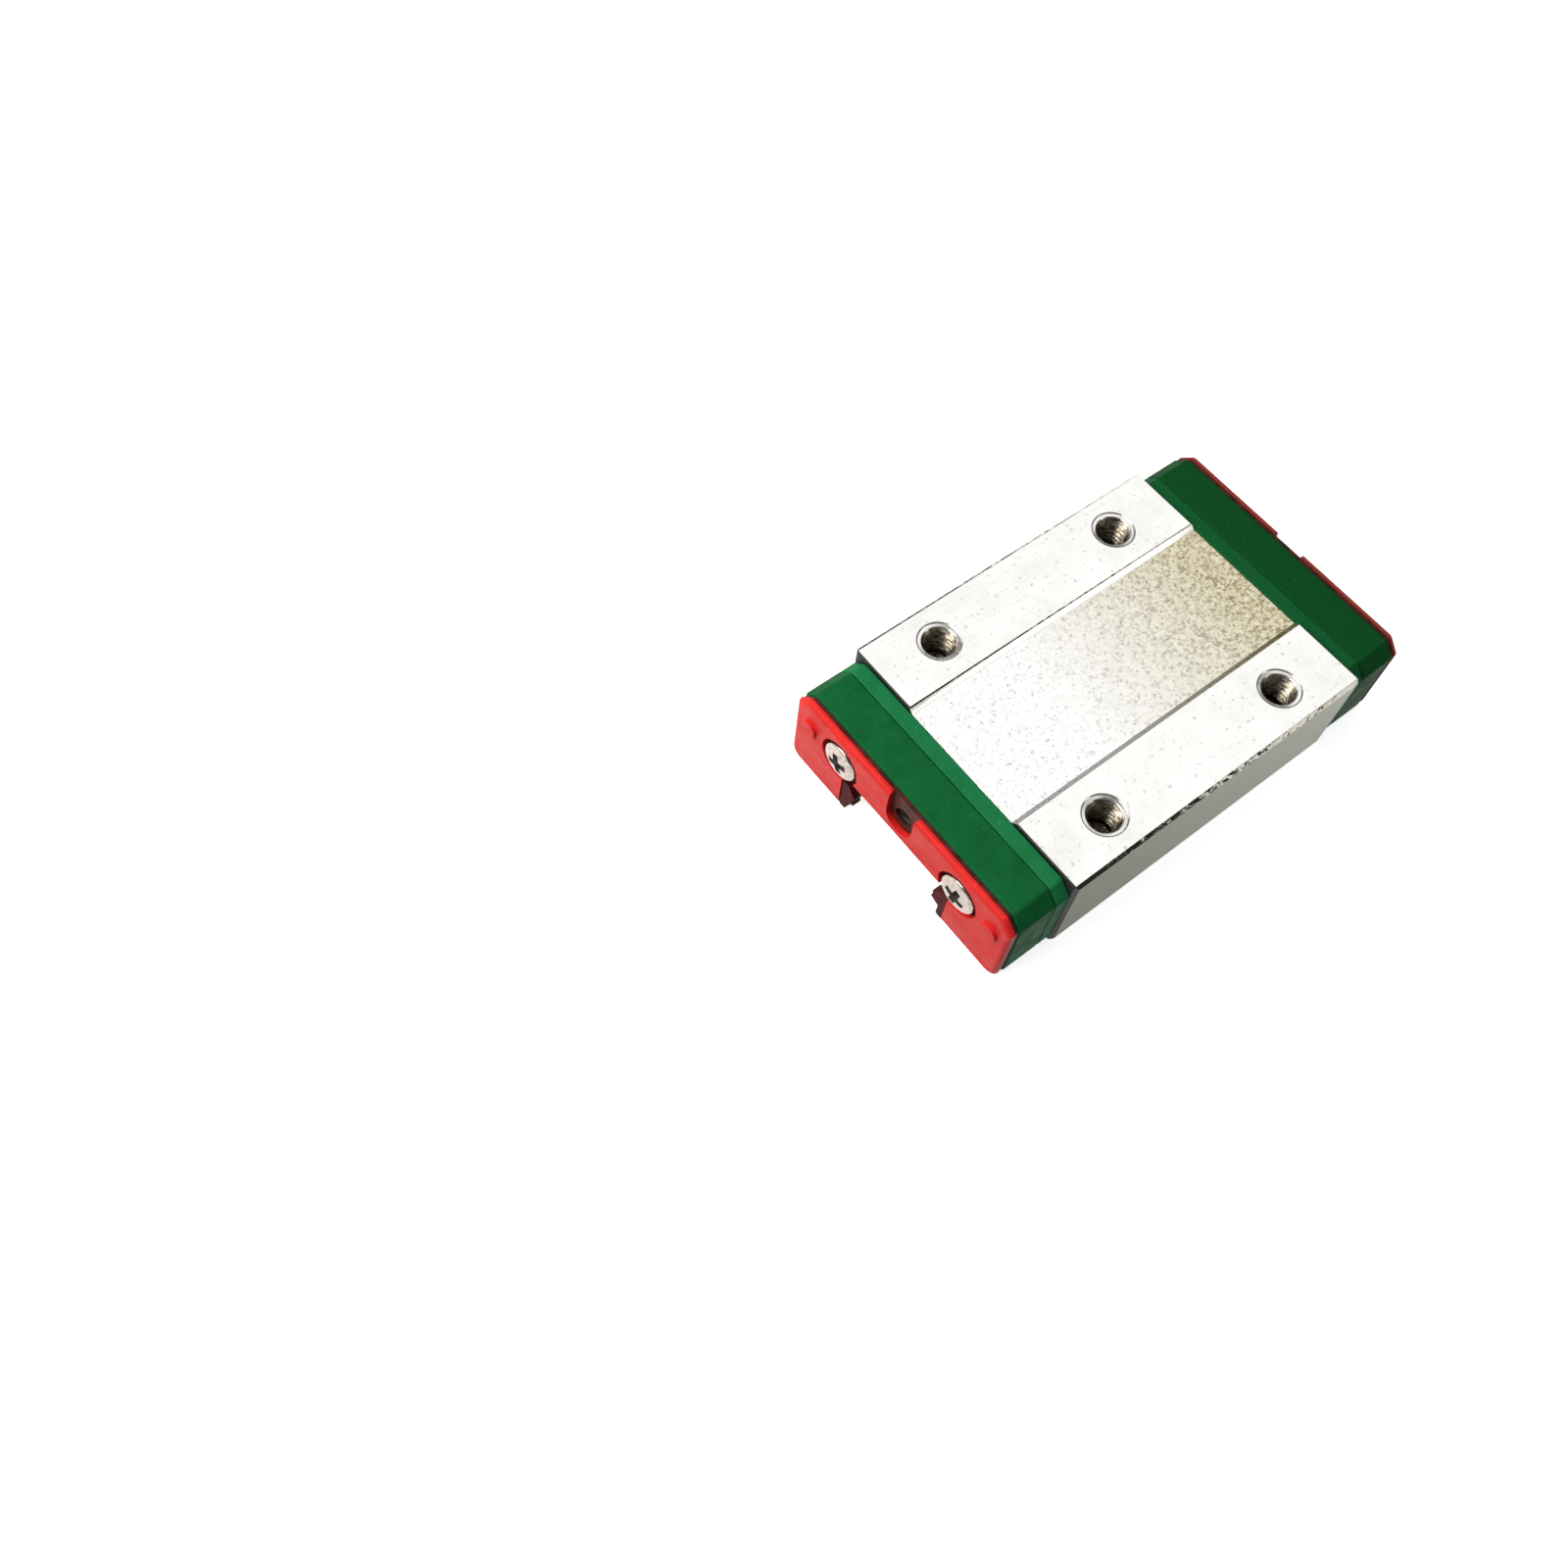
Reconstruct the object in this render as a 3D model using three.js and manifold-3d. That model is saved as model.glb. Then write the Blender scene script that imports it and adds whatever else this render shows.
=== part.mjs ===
// Linear guide carriage for a 12 mm wide miniature rail: a steel block that runs on two rows of recirculating
// balls, with a return plate, an end cap, a rubber-coated wiper sheet and an end seal screwed to each end.
//
// Millimetres. +X is the direction of travel, +Y points across the rail and +Z points up, away from the rail.
// The origin is below the middle of the carriage, at the level of the block's underside. Both ends and both
// sides are alike, so a piece is drawn once, on the +X end or the +Y side, and turned or mirrored to the
// others.

import * as THREE from "three";
import { mergeVertices } from "three/addons/utils/BufferGeometryUtils.js";
import Module from "manifold-3d";

const wasm = await Module();
wasm.setup();

// ---- Driving dimensions ----

// Steel block
const BLOCK_LENGTH = 32.4;
const BLOCK_WIDTH = 27;
const BLOCK_HEIGHT = 10;
const EDGE_CHAMFER = 0.3;
const END_CHAMFER = 0.1;
const RECESS_HALF_WIDTH = 6.5; // shallow ground recess between the two top lands
const RECESS_DEPTH = 0.45;
const CHANNEL_HALF_WIDTH = 6.4; // clearance channel for the 12 mm rail
const CHANNEL_HEIGHT = 5.35;

// Mounting holes, M3 in a 20 x 20 pattern
const MOUNT_PITCH = 20;
const MOUNT_TAP_RADIUS = 1.25;
const MOUNT_DEPTH = 3.5;
const MOUNT_SINK_RADIUS = 2;
const MOUNT_SINK_DEPTH = 0.5;
const DRILL_TIP_SLOPE = 0.6; // a 118 degree drill point is this high for each mm of radius

// Ball circuits
const BALL_RADIUS = 1.1905; // a 3/32 inch ball
const BALL_PITCH = 2.55;
const ROW_BALLS = 13;
const TURN_BALLS = 3;
const LOADED_Y = 6.2; // centre line of a loaded row
const RETURN_Y = 10.148; // centre line of a return hole
const BALL_Z = 2.6;
const TURN_CENTRE_X = 17.3;
const TURN_RADIUS = (RETURN_Y - LOADED_Y) / 2;
const TURN_CENTRE_Y = (RETURN_Y + LOADED_Y) / 2;
const CHANNEL_RADIUS = 1.33; // bore that the balls run through
const NECK_RADIUS = 0.22; // thin link that joins the hidden balls of a group

// End pieces, from the block outwards: each starts and ends at these places along X
const PLATE_X = [16.25, 17.65];
const CAP_X = [17.7, 21.4];
const WIPER_X = [21.45, 21.78];
const SEAL_X = [21.8, 22.35];
const CAP_HALF_WIDTH = 13.2;
const CAP_BASE_Z = 0.2;
const CAP_TOP_Z = 9.65;
const CAP_TOP_CORNER = 1.2;
const CAP_BASE_CORNER = 0.9;
const CAP_OPENING = [6.35, 5.4]; // half width and height of the way for the rail
const TONGUE_RADIUS = 1.15; // ball scoop that reaches into the rail's groove
const GUIDE_RADIUS = 1.5; // half-moon that the balls turn around
const GUIDE_HALF_HEIGHT = 1.6;
const GUIDE_GAP = 0.1;
const LUBE_Z = 7.25;
const LUBE_RADIUS = 0.95;
const LUBE_DEPTH = 2.2;
const OIL_WAY = 0.8; // width of the oil ways that lead from the grease port to the balls

// Wiper sheet: its opening follows the rail, with an ear that fills each ball groove
const WIPER_EDGE = 0.12; // the sheet is this much smaller than the cap all round
const RAIL_HALF_WIDTH = 5.95;
const RAIL_TOP = 5.12;
const RAIL_CORNER = 0.35;
const EAR_TOP_Z = 4.2;
const EAR_BASE_Z = 1.7;
const EAR_TOOTH_Y = 5.05;
const EAR_SLOT_Y = 5.4; // bottom of the small slot that the wire passes
const EAR_SLOT_HALF = 0.2;
const EAR_TOOTH_HALF = 0.55;
const LIP_OUTER_Y = 6.6; // the lip stands forward through the end seal, beside the rail
const LIP_END_X = 22.25;

// End seal
const SEAL_EDGE = 0.05; // the seal is this much smaller than the cap all round
const SEAL_BEVEL = 0.45;
const SEAL_OPENING = [6.7, 5.2];
const NOTCH_RADIUS = 1.5;
const STUD_Y = 11.2;
const STUD_Z = 6.45;
const STUD_RADIUS = 0.85;
const STUD_HEIGHT = 0.3;

// End screws, M2 pan head
const SCREW_Y = 7.35;
const SCREW_Z = 6.3;
const SCREW_RADIUS = 0.95;
const SCREW_HOLE_RADIUS = 1.1;
const SCREW_LENGTH = 8;
const HEAD_RADIUS = 1.9;
const HEAD_SEAT_X = 21.8;
const HEAD_END_X = 22.7;
const HEAD_HOLE_RADIUS = 2.2;
const TIP_RADIUS = 0.57;
const TIP_LENGTH = 0.35;
const CROWN = [[1.9, 0.45], [1.63, 0.77], [1.14, 0.9]]; // radius and height of points along the crown
const CROSS_WIDTH = 0.5;
const CROSS_SPAN = 2.1;
const CROSS_DEPTH = 0.6;

// Ball retaining wires
const WIRE_RADIUS = 0.25;
const WIRE_Y = 4.7;
const WIRE_END_X = 20.55;
const WIRE_HOOK = 1.1;

const ROUND_SIDES = 16; // sides of the round holes and shafts
const WIDE_SIDES = 24; // sides of the wider holes
const SMALL_SIDES = 8; // sides of the thin shapes
const CORNER_STEPS = 3; // steps in a rounded corner
const RING_SIDES = 12; // sides of the channel's section where it turns
const RING_STEPS = 20; // steps round a whole turn ring
const PAST = 1; // how far a cutter runs past the face that it opens

const ENDS = [["front", -1], ["rear", 1]];
const SIDES = [["left", 1], ["right", -1]];

// ---- Materials ----

function look(color, roughness, metalness) {
  return () => new THREE.MeshStandardMaterial({ color, roughness, metalness });
}

const nickelSteel = look(0xd9d7cf, 0.3, 1);
const greenPlastic = look(0x23703f, 0.45, 0);
const paleGreenPlastic = look(0x2f8a50, 0.45, 0);
const redPlastic = look(0xe04040, 0.4, 0);
const darkRubber = look(0x4a1518, 0.6, 0);
const screwSteel = look(0xcfc6ba, 0.28, 1);
const ballSteel = look(0xe2e2e2, 0.08, 1);
const springSteel = look(0xb4b4b0, 0.25, 1);

// ---- Solids ----

// A closed three.js geometry as a manifold solid.
function solid(geometry) {
  const bare = geometry.index ? geometry.toNonIndexed() : geometry.clone();
  bare.deleteAttribute("normal");
  bare.deleteAttribute("uv");
  const merged = mergeVertices(bare, 1e-4);
  const mesh = new wasm.Mesh({
    numProp: 3,
    vertProperties: merged.attributes.position.array,
    triVerts: new Uint32Array(merged.index.array),
  });
  return new wasm.Manifold(mesh);
}

// A manifold solid as a three.js geometry.
function geometryOf(shape) {
  const mesh = shape.getMesh();
  const geometry = new THREE.BufferGeometry();
  geometry.setAttribute("position", new THREE.BufferAttribute(mesh.vertProperties, 3));
  geometry.setIndex(new THREE.BufferAttribute(mesh.triVerts, 1));
  geometry.computeVertexNormals();
  return geometry;
}

const joined = (...shapes) => shapes.reduce((whole, next) => whole.add(next));
const cut = (body, ...tools) => tools.reduce((left, tool) => left.subtract(tool), body);

function extruded(outline, depth) {
  return new THREE.ExtrudeGeometry(outline, { depth, bevelEnabled: false, curveSegments: CORNER_STEPS });
}

// An outline drawn in (y, z), extruded along X.
function prismAlongX(outline, startX, endX) {
  const turnToX = new THREE.Matrix4().set(0, 0, 1, 0, 1, 0, 0, 0, 0, 1, 0, 0, 0, 0, 0, 1);
  return solid(extruded(outline, endX - startX).applyMatrix4(turnToX).translate(startX, 0, 0));
}

function box([lowX, highX], [lowY, highY], [lowZ, highZ]) {
  const geometry = new THREE.BoxGeometry(highX - lowX, highY - lowY, highZ - lowZ);
  return solid(geometry.translate((lowX + highX) / 2, (lowY + highY) / 2, (lowZ + highZ) / 2));
}

// A round bar along X, or the hole that it cuts.
function barAlongX(radius, startX, endX, y, z, sides = ROUND_SIDES) {
  const geometry = new THREE.CylinderGeometry(radius, radius, endX - startX, sides);
  return solid(geometry.rotateZ(Math.PI / 2).translate((startX + endX) / 2, y, z));
}

// A turned shape: pairs of radius and height, spun about an upright axis through (x, y), from height z.
function turned(profile, x, y, z, sides = ROUND_SIDES) {
  const points = profile.map(([radius, height]) => new THREE.Vector2(radius, height));
  return solid(new THREE.LatheGeometry(points, sides).rotateX(Math.PI / 2).translate(x, y, z));
}

function outlineOf(points) {
  return new THREE.Shape(points.map(([u, v]) => new THREE.Vector2(u, v)));
}

// An outline given for one side of a mirror line, closed with its mirror image.
function mirroredOutline(half) {
  const other = half.map(([u, v]) => [-u, v]).reverse();
  return outlineOf([...half, ...other]);
}

// ---- Steel block ----

function blockSection() {
  const half = BLOCK_WIDTH / 2;
  const recessFloor = BLOCK_HEIGHT - RECESS_DEPTH;
  return mirroredOutline([
    [CHANNEL_HALF_WIDTH, CHANNEL_HEIGHT],
    [CHANNEL_HALF_WIDTH, EDGE_CHAMFER],
    [CHANNEL_HALF_WIDTH + EDGE_CHAMFER, 0],
    [half - EDGE_CHAMFER, 0],
    [half, EDGE_CHAMFER],
    [half, BLOCK_HEIGHT - EDGE_CHAMFER],
    [half - EDGE_CHAMFER, BLOCK_HEIGHT],
    [RECESS_HALF_WIDTH, BLOCK_HEIGHT],
    [RECESS_HALF_WIDTH - RECESS_DEPTH, recessFloor],
  ]);
}

// The block's outline from above, with its corners taken off.
function blockPlan() {
  const halfLength = BLOCK_LENGTH / 2;
  const halfWidth = BLOCK_WIDTH / 2;
  const corner = EDGE_CHAMFER;
  const plan = mirroredOutline([
    [halfLength - corner, -halfWidth],
    [halfLength, corner - halfWidth],
    [halfLength, halfWidth - corner],
    [halfLength - corner, halfWidth],
  ]);
  return solid(extruded(plan, BLOCK_HEIGHT));
}

// The block's outline from the side, with the two top end edges taken off.
function blockSideView() {
  const halfLength = BLOCK_LENGTH / 2;
  const view = mirroredOutline([
    [halfLength, 0],
    [halfLength, BLOCK_HEIGHT - END_CHAMFER],
    [halfLength - END_CHAMFER, BLOCK_HEIGHT],
  ]);
  const upright = extruded(view, BLOCK_WIDTH).rotateX(Math.PI / 2);
  return solid(upright.translate(0, BLOCK_WIDTH / 2, 0));
}

// A tapped mounting hole with its drill point and countersink.
function mountHole(x, y) {
  return turned(
    [
      [0, -MOUNT_DEPTH - MOUNT_TAP_RADIUS * DRILL_TIP_SLOPE],
      [MOUNT_TAP_RADIUS, -MOUNT_DEPTH],
      [MOUNT_TAP_RADIUS, -MOUNT_SINK_DEPTH],
      [MOUNT_SINK_RADIUS, 0],
      [MOUNT_SINK_RADIUS, PAST],
      [0, PAST],
    ],
    x, y, BLOCK_HEIGHT,
  );
}

function carriageBlock() {
  const halfLength = BLOCK_LENGTH / 2;
  const screwTipX = HEAD_SEAT_X - SCREW_LENGTH;
  const cutters = [];
  for (const [, side] of SIDES) {
    cutters.push(barAlongX(CHANNEL_RADIUS, -halfLength - PAST, halfLength + PAST, side * LOADED_Y, BALL_Z));
    cutters.push(barAlongX(CHANNEL_RADIUS, -halfLength - PAST, halfLength + PAST, side * RETURN_Y, BALL_Z));
    for (const [, end] of ENDS) {
      const inner = end * (screwTipX - PAST);
      const outer = end * (halfLength + PAST);
      const [low, high] = [Math.min(inner, outer), Math.max(inner, outer)];
      cutters.push(barAlongX(SCREW_HOLE_RADIUS, low, high, side * SCREW_Y, SCREW_Z));
      cutters.push(mountHole((end * MOUNT_PITCH) / 2, (side * MOUNT_PITCH) / 2));
    }
  }
  const bar = prismAlongX(blockSection(), -halfLength, halfLength);
  return cut(bar.intersect(blockPlan()).intersect(blockSideView()), ...cutters);
}

// ---- End pieces, drawn at the +X end ----

// The outer edge shared by the return plate, the cap, the wiper and the seal.
function endOutline(inset = 0) {
  const half = CAP_HALF_WIDTH - inset;
  const top = CAP_TOP_Z - inset;
  const base = CAP_BASE_Z + inset;
  const round = CAP_BASE_CORNER;
  const outline = new THREE.Shape();
  outline.absarc(half - round, base + round, round, -Math.PI / 2, 0, false);
  outline.lineTo(half, top - CAP_TOP_CORNER);
  outline.lineTo(half - CAP_TOP_CORNER, top);
  outline.lineTo(CAP_TOP_CORNER - half, top);
  outline.lineTo(-half, top - CAP_TOP_CORNER);
  outline.absarc(round - half, base + round, round, Math.PI, (3 * Math.PI) / 2, false);
  return outline;
}

// The way for the rail through an end piece.
function railWay([halfWidth, height], [startX, endX]) {
  return box([startX - PAST, endX + PAST], [-halfWidth, halfWidth], [-PAST, height]);
}

function endPlate([startX, endX], opening) {
  return prismAlongX(endOutline(), startX, endX).subtract(railWay(opening, [startX, endX]));
}

function screwHoles(startX, endX) {
  return SIDES.map(([, side]) => barAlongX(SCREW_HOLE_RADIUS, startX, endX, side * SCREW_Y, SCREW_Z));
}

// The ring that the balls' channel follows at one turn.
function turnRing(side) {
  const ring = new THREE.TorusGeometry(TURN_RADIUS, CHANNEL_RADIUS, RING_SIDES, RING_STEPS);
  return solid(ring.translate(TURN_CENTRE_X, side * TURN_CENTRE_Y, BALL_Z));
}

// An upright disc about a turn's centre.
function turnDisc(side, radius, halfHeight) {
  const profile = [[0, -halfHeight], [radius, -halfHeight], [radius, halfHeight], [0, halfHeight]];
  return turned(profile, TURN_CENTRE_X, side * TURN_CENTRE_Y, BALL_Z);
}

// The half-moon that the balls turn around, grooved to fit them.
function halfMoon(side) {
  const disc = turnDisc(side, GUIDE_RADIUS, GUIDE_HALF_HEIGHT);
  const outerX = [PLATE_X[1] - GUIDE_GAP, TURN_CENTRE_X + 2 * GUIDE_RADIUS];
  const outerHalf = box(outerX, [-BLOCK_WIDTH, BLOCK_WIDTH], [0, BLOCK_HEIGHT]);
  return cut(disc.intersect(outerHalf), turnRing(side));
}

function returnPlate() {
  const [startX, endX] = PLATE_X;
  const plate = endPlate(PLATE_X, CAP_OPENING);
  const cutters = screwHoles(startX - PAST, endX + PAST);
  for (const [, side] of SIDES) {
    cutters.push(barAlongX(CHANNEL_RADIUS, startX - PAST, endX + PAST, side * LOADED_Y, BALL_Z));
    cutters.push(barAlongX(CHANNEL_RADIUS, startX - PAST, endX + PAST, side * RETURN_Y, BALL_Z));
  }
  return joined(cut(plate, ...cutters), halfMoon(1), halfMoon(-1));
}

// A bar along X that fills the rail's ball groove and lifts the balls out of it.
function tongue(side) {
  return barAlongX(TONGUE_RADIUS, CAP_X[0], CAP_X[1], side * LOADED_Y, BALL_Z);
}

// The oil ways in the cap's inner face, from the grease port to the two return holes.
function oilWays() {
  const half = OIL_WAY / 2;
  const [innerX] = CAP_X;
  const depthX = [innerX - PAST, innerX + OIL_WAY];
  const across = box(depthX, [-RETURN_Y - half, RETURN_Y + half], [LUBE_Z - half, LUBE_Z + half]);
  const downs = SIDES.map(([, side]) => {
    const y = side * RETURN_Y;
    return box(depthX, [y - half, y + half], [BALL_Z, LUBE_Z]);
  });
  const port = barAlongX(half, innerX - PAST, CAP_X[1] - PAST, 0, LUBE_Z, SMALL_SIDES);
  return joined(across, ...downs, port);
}

function wireSlot(side) {
  const reach = WIRE_Y + WIRE_HOOK + 2 * WIRE_RADIUS;
  const ySpan = [side * WIRE_Y, side * reach].sort((a, b) => a - b);
  const halfWidth = WIRE_RADIUS + GUIDE_GAP;
  return box([WIRE_END_X - halfWidth, CAP_X[1] + PAST], ySpan, [BALL_Z - halfWidth, BALL_Z + halfWidth]);
}

function endCap() {
  const [startX, endX] = CAP_X;
  const shell = endPlate(CAP_X, CAP_OPENING);
  const cutters = [
    ...screwHoles(startX - PAST, endX + PAST),
    barAlongX(LUBE_RADIUS, endX - LUBE_DEPTH, endX + PAST, 0, LUBE_Z),
    oilWays(),
  ];
  for (const [, side] of SIDES) {
    cutters.push(turnRing(side));
    cutters.push(turnDisc(side, GUIDE_RADIUS + GUIDE_GAP, GUIDE_HALF_HEIGHT + GUIDE_GAP));
    cutters.push(wireSlot(side));
  }
  return cut(joined(shell, tongue(1), tongue(-1)), ...cutters);
}

// The ear's edge, from its top to its base. Its upper side is the steeper one.
function earPoints() {
  return [
    [RAIL_HALF_WIDTH, EAR_TOP_Z],
    [EAR_TOOTH_Y, BALL_Z + EAR_TOOTH_HALF],
    [EAR_TOOTH_Y, BALL_Z + EAR_SLOT_HALF],
    [EAR_SLOT_Y, BALL_Z],
    [EAR_TOOTH_Y, BALL_Z - EAR_SLOT_HALF],
    [EAR_TOOTH_Y, BALL_Z - EAR_TOOTH_HALF],
    [RAIL_HALF_WIDTH, EAR_BASE_Z],
  ];
}

// The opening in the wiper sheet: the rail's own end view, less the ears.
function railOutline() {
  return mirroredOutline([
    [RAIL_HALF_WIDTH - RAIL_CORNER, RAIL_TOP],
    [RAIL_HALF_WIDTH, RAIL_TOP - RAIL_CORNER],
    ...earPoints(),
    [RAIL_HALF_WIDTH, CAP_BASE_Z - PAST],
  ]);
}

function wiperLip(side) {
  const base = CAP_BASE_Z + WIPER_EDGE;
  const corners = [[LIP_OUTER_Y, EAR_TOP_Z], ...earPoints(), [RAIL_HALF_WIDTH, base], [LIP_OUTER_Y, base]];
  const sided = corners.map(([y, z]) => [side * y, z]);
  return prismAlongX(outlineOf(sided), WIPER_X[0], LIP_END_X);
}

function wiper() {
  const [startX, endX] = WIPER_X;
  const sheet = prismAlongX(endOutline(WIPER_EDGE), startX, endX);
  const cutters = [
    ...screwHoles(startX - PAST, endX + PAST),
    barAlongX(LUBE_RADIUS, startX - PAST, endX + PAST, 0, LUBE_Z),
    prismAlongX(railOutline(), startX - PAST, endX + PAST),
  ];
  return joined(cut(sheet, ...cutters), wiperLip(1), wiperLip(-1));
}

// The seal's body, bevelled round its outer front edge.
function sealBody() {
  const [startX, endX] = SEAL_X;
  const back = prismAlongX(endOutline(SEAL_EDGE), startX, endX - SEAL_BEVEL);
  const front = prismAlongX(endOutline(SEAL_EDGE + SEAL_BEVEL), startX, endX);
  return wasm.Manifold.hull([back, front]).subtract(railWay(SEAL_OPENING, SEAL_X));
}

function endSeal() {
  const [startX, endX] = SEAL_X;
  const cutters = [
    barAlongX(NOTCH_RADIUS, startX - PAST, endX + PAST, 0, LUBE_Z),
    box([startX - PAST, endX + PAST], [-NOTCH_RADIUS, NOTCH_RADIUS], [LUBE_Z, CAP_TOP_Z + PAST]),
  ];
  const studs = [];
  for (const [, side] of SIDES) {
    const y = side * SCREW_Y;
    cutters.push(barAlongX(HEAD_HOLE_RADIUS, startX - PAST, endX + PAST, y, SCREW_Z, WIDE_SIDES));
    studs.push(barAlongX(STUD_RADIUS, endX - SEAL_BEVEL, endX + STUD_HEIGHT, side * STUD_Y, STUD_Z));
  }
  return joined(cut(sealBody(), ...cutters), ...studs);
}

// ---- Screws, wires and balls ----

// A pan-head screw without its cross recess, its tip at the origin and its head up.
function screwProfile() {
  return [
    [0, 0],
    [TIP_RADIUS, 0],
    [SCREW_RADIUS, TIP_LENGTH],
    [SCREW_RADIUS, SCREW_LENGTH],
    [HEAD_RADIUS, SCREW_LENGTH],
    ...CROWN.map(([radius, height]) => [radius, SCREW_LENGTH + height]),
    [0, SCREW_LENGTH + HEAD_END_X - HEAD_SEAT_X],
  ];
}

function endScrew(side) {
  const points = screwProfile().map(([radius, height]) => new THREE.Vector2(radius, height));
  const tipX = HEAD_SEAT_X - SCREW_LENGTH;
  const lathe = new THREE.LatheGeometry(points, ROUND_SIDES);
  const body = solid(lathe.rotateZ(-Math.PI / 2).translate(tipX, 0, 0));
  const recessX = [HEAD_END_X - CROSS_DEPTH, HEAD_END_X + PAST];
  const long = [-CROSS_SPAN / 2, CROSS_SPAN / 2];
  const narrow = [-CROSS_WIDTH / 2, CROSS_WIDTH / 2];
  const screw = cut(body, box(recessX, long, narrow), box(recessX, narrow, long));
  return screw.translate([0, side * SCREW_Y, SCREW_Z]);
}

// A straight wire with both ends bent outwards, away from the rail.
function retainingWire(side) {
  const run = barAlongX(WIRE_RADIUS, -WIRE_END_X, WIRE_END_X, side * WIRE_Y, BALL_Z, SMALL_SIDES);
  const hooks = ENDS.map(([, end]) => {
    const hook = new THREE.CapsuleGeometry(WIRE_RADIUS, WIRE_HOOK, 2, SMALL_SIDES);
    return solid(hook.translate(end * WIRE_END_X, side * (WIRE_Y + WIRE_HOOK / 2), BALL_Z));
  });
  return joined(run, ...hooks);
}

function ball(x, y) {
  return solid(new THREE.IcosahedronGeometry(BALL_RADIUS, 1).translate(x, y, BALL_Z));
}

function rowX(index) {
  return (index - (ROW_BALLS - 1) / 2) * BALL_PITCH;
}

// The balls on their way back through a return hole.
function returnRow(side) {
  const y = side * RETURN_Y;
  const balls = [];
  for (let index = 0; index < ROW_BALLS; index += 1) {
    balls.push(ball(rowX(index), y));
  }
  return joined(barAlongX(NECK_RADIUS, rowX(0), rowX(ROW_BALLS - 1), y, BALL_Z, SMALL_SIDES), ...balls);
}

// The balls on their way round a turn, evenly spaced about its middle.
function turnBalls(side) {
  const step = BALL_PITCH / TURN_RADIUS;
  const places = [];
  for (let index = 0; index < TURN_BALLS; index += 1) {
    const angle = (index - (TURN_BALLS - 1) / 2) * step;
    const x = TURN_CENTRE_X + TURN_RADIUS * Math.cos(angle);
    const y = TURN_CENTRE_Y + TURN_RADIUS * Math.sin(angle);
    places.push([x, side * y]);
  }
  const links = places.slice(1).map(([x, y], index) => link(places[index], [x, y]));
  return joined(...places.map(([x, y]) => ball(x, y)), ...links);
}

// A thin bar between the centres of two balls.
function link([fromX, fromY], [toX, toY]) {
  const length = Math.hypot(toX - fromX, toY - fromY);
  const bar = new THREE.CylinderGeometry(NECK_RADIUS, NECK_RADIUS, length, SMALL_SIDES);
  bar.rotateZ(Math.atan2(toY - fromY, toX - fromX) - Math.PI / 2);
  return solid(bar.translate((fromX + toX) / 2, (fromY + toY) / 2, BALL_Z));
}

// ---- Assembly ----

const carriage = new THREE.Group();

function place(name, shape, material, end = 1) {
  const mesh = new THREE.Mesh(geometryOf(shape), material);
  mesh.name = name;
  mesh.rotation.z = end > 0 ? 0 : Math.PI;
  carriage.add(mesh);
}

place("carriage_block", carriageBlock(), nickelSteel());

for (const [endName, end] of ENDS) {
  place(`return_plate_${endName}`, returnPlate(), paleGreenPlastic(), end);
  place(`end_cap_${endName}`, endCap(), greenPlastic(), end);
  place(`wiper_${endName}`, wiper(), darkRubber(), end);
  place(`end_seal_${endName}`, endSeal(), redPlastic(), end);
  for (const [sideName, side] of SIDES) {
    place(`end_screw_${endName}_${sideName}`, endScrew(end * side), screwSteel(), end);
    place(`turn_balls_${endName}_${sideName}`, turnBalls(end * side), ballSteel(), end);
  }
}

for (const [sideName, side] of SIDES) {
  place(`retaining_wire_${sideName}`, retainingWire(side), springSteel());
  place(`return_balls_${sideName}`, returnRow(side), ballSteel());
  for (let index = 0; index < ROW_BALLS; index += 1) {
    const number = String(index + 1).padStart(2, "0");
    place(`ball_${sideName}_${number}`, ball(rowX(index), side * LOADED_Y), ballSteel());
  }
}

export default carriage;
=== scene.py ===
import math

import bmesh
import bpy
from mathutils import Matrix, Vector


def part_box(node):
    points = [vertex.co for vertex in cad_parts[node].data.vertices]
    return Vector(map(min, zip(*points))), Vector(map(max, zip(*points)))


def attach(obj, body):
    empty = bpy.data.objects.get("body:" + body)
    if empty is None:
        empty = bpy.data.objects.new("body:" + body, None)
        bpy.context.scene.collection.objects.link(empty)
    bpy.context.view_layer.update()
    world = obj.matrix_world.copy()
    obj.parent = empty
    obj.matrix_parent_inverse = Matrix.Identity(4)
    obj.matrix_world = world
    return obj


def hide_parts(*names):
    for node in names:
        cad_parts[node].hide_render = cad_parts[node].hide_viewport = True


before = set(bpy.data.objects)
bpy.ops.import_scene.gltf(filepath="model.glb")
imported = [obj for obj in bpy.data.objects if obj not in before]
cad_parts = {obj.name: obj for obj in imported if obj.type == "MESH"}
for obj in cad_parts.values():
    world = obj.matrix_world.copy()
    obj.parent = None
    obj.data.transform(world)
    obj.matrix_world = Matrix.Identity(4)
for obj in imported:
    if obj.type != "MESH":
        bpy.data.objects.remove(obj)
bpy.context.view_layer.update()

# Everything is drawn in millimetres in the row frame and scaled to metres when a piece is finished.
MM = 0.001

ENDS = (("front", -1), ("rear", 1))
SIDES = (("left", 1), ("right", -1))
ROUND = 64  # sides of a smooth round shape
ARC_STEPS = 6  # steps in a rounded corner
THREAD_RINGS = 8  # rings of a thread in each pitch
THREAD_GAIN = 1.25  # how much a thread's flanks overshoot, which leaves its crest and root flat
THREAD_FLAT = 0.1
PAST = 1.0  # how far a cutter runs past the face that it opens
LEVEL = 0.99  # a face that points up at least this much is level
ON_FACE = 0.02  # how near a level counts as on it


def span(node, axis):
    """Where a CAD node starts and ends along an axis, in millimetres."""
    low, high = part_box(node)
    return low[axis] / MM, high[axis] / MM


# ---- Sizes read from the frame ----

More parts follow.
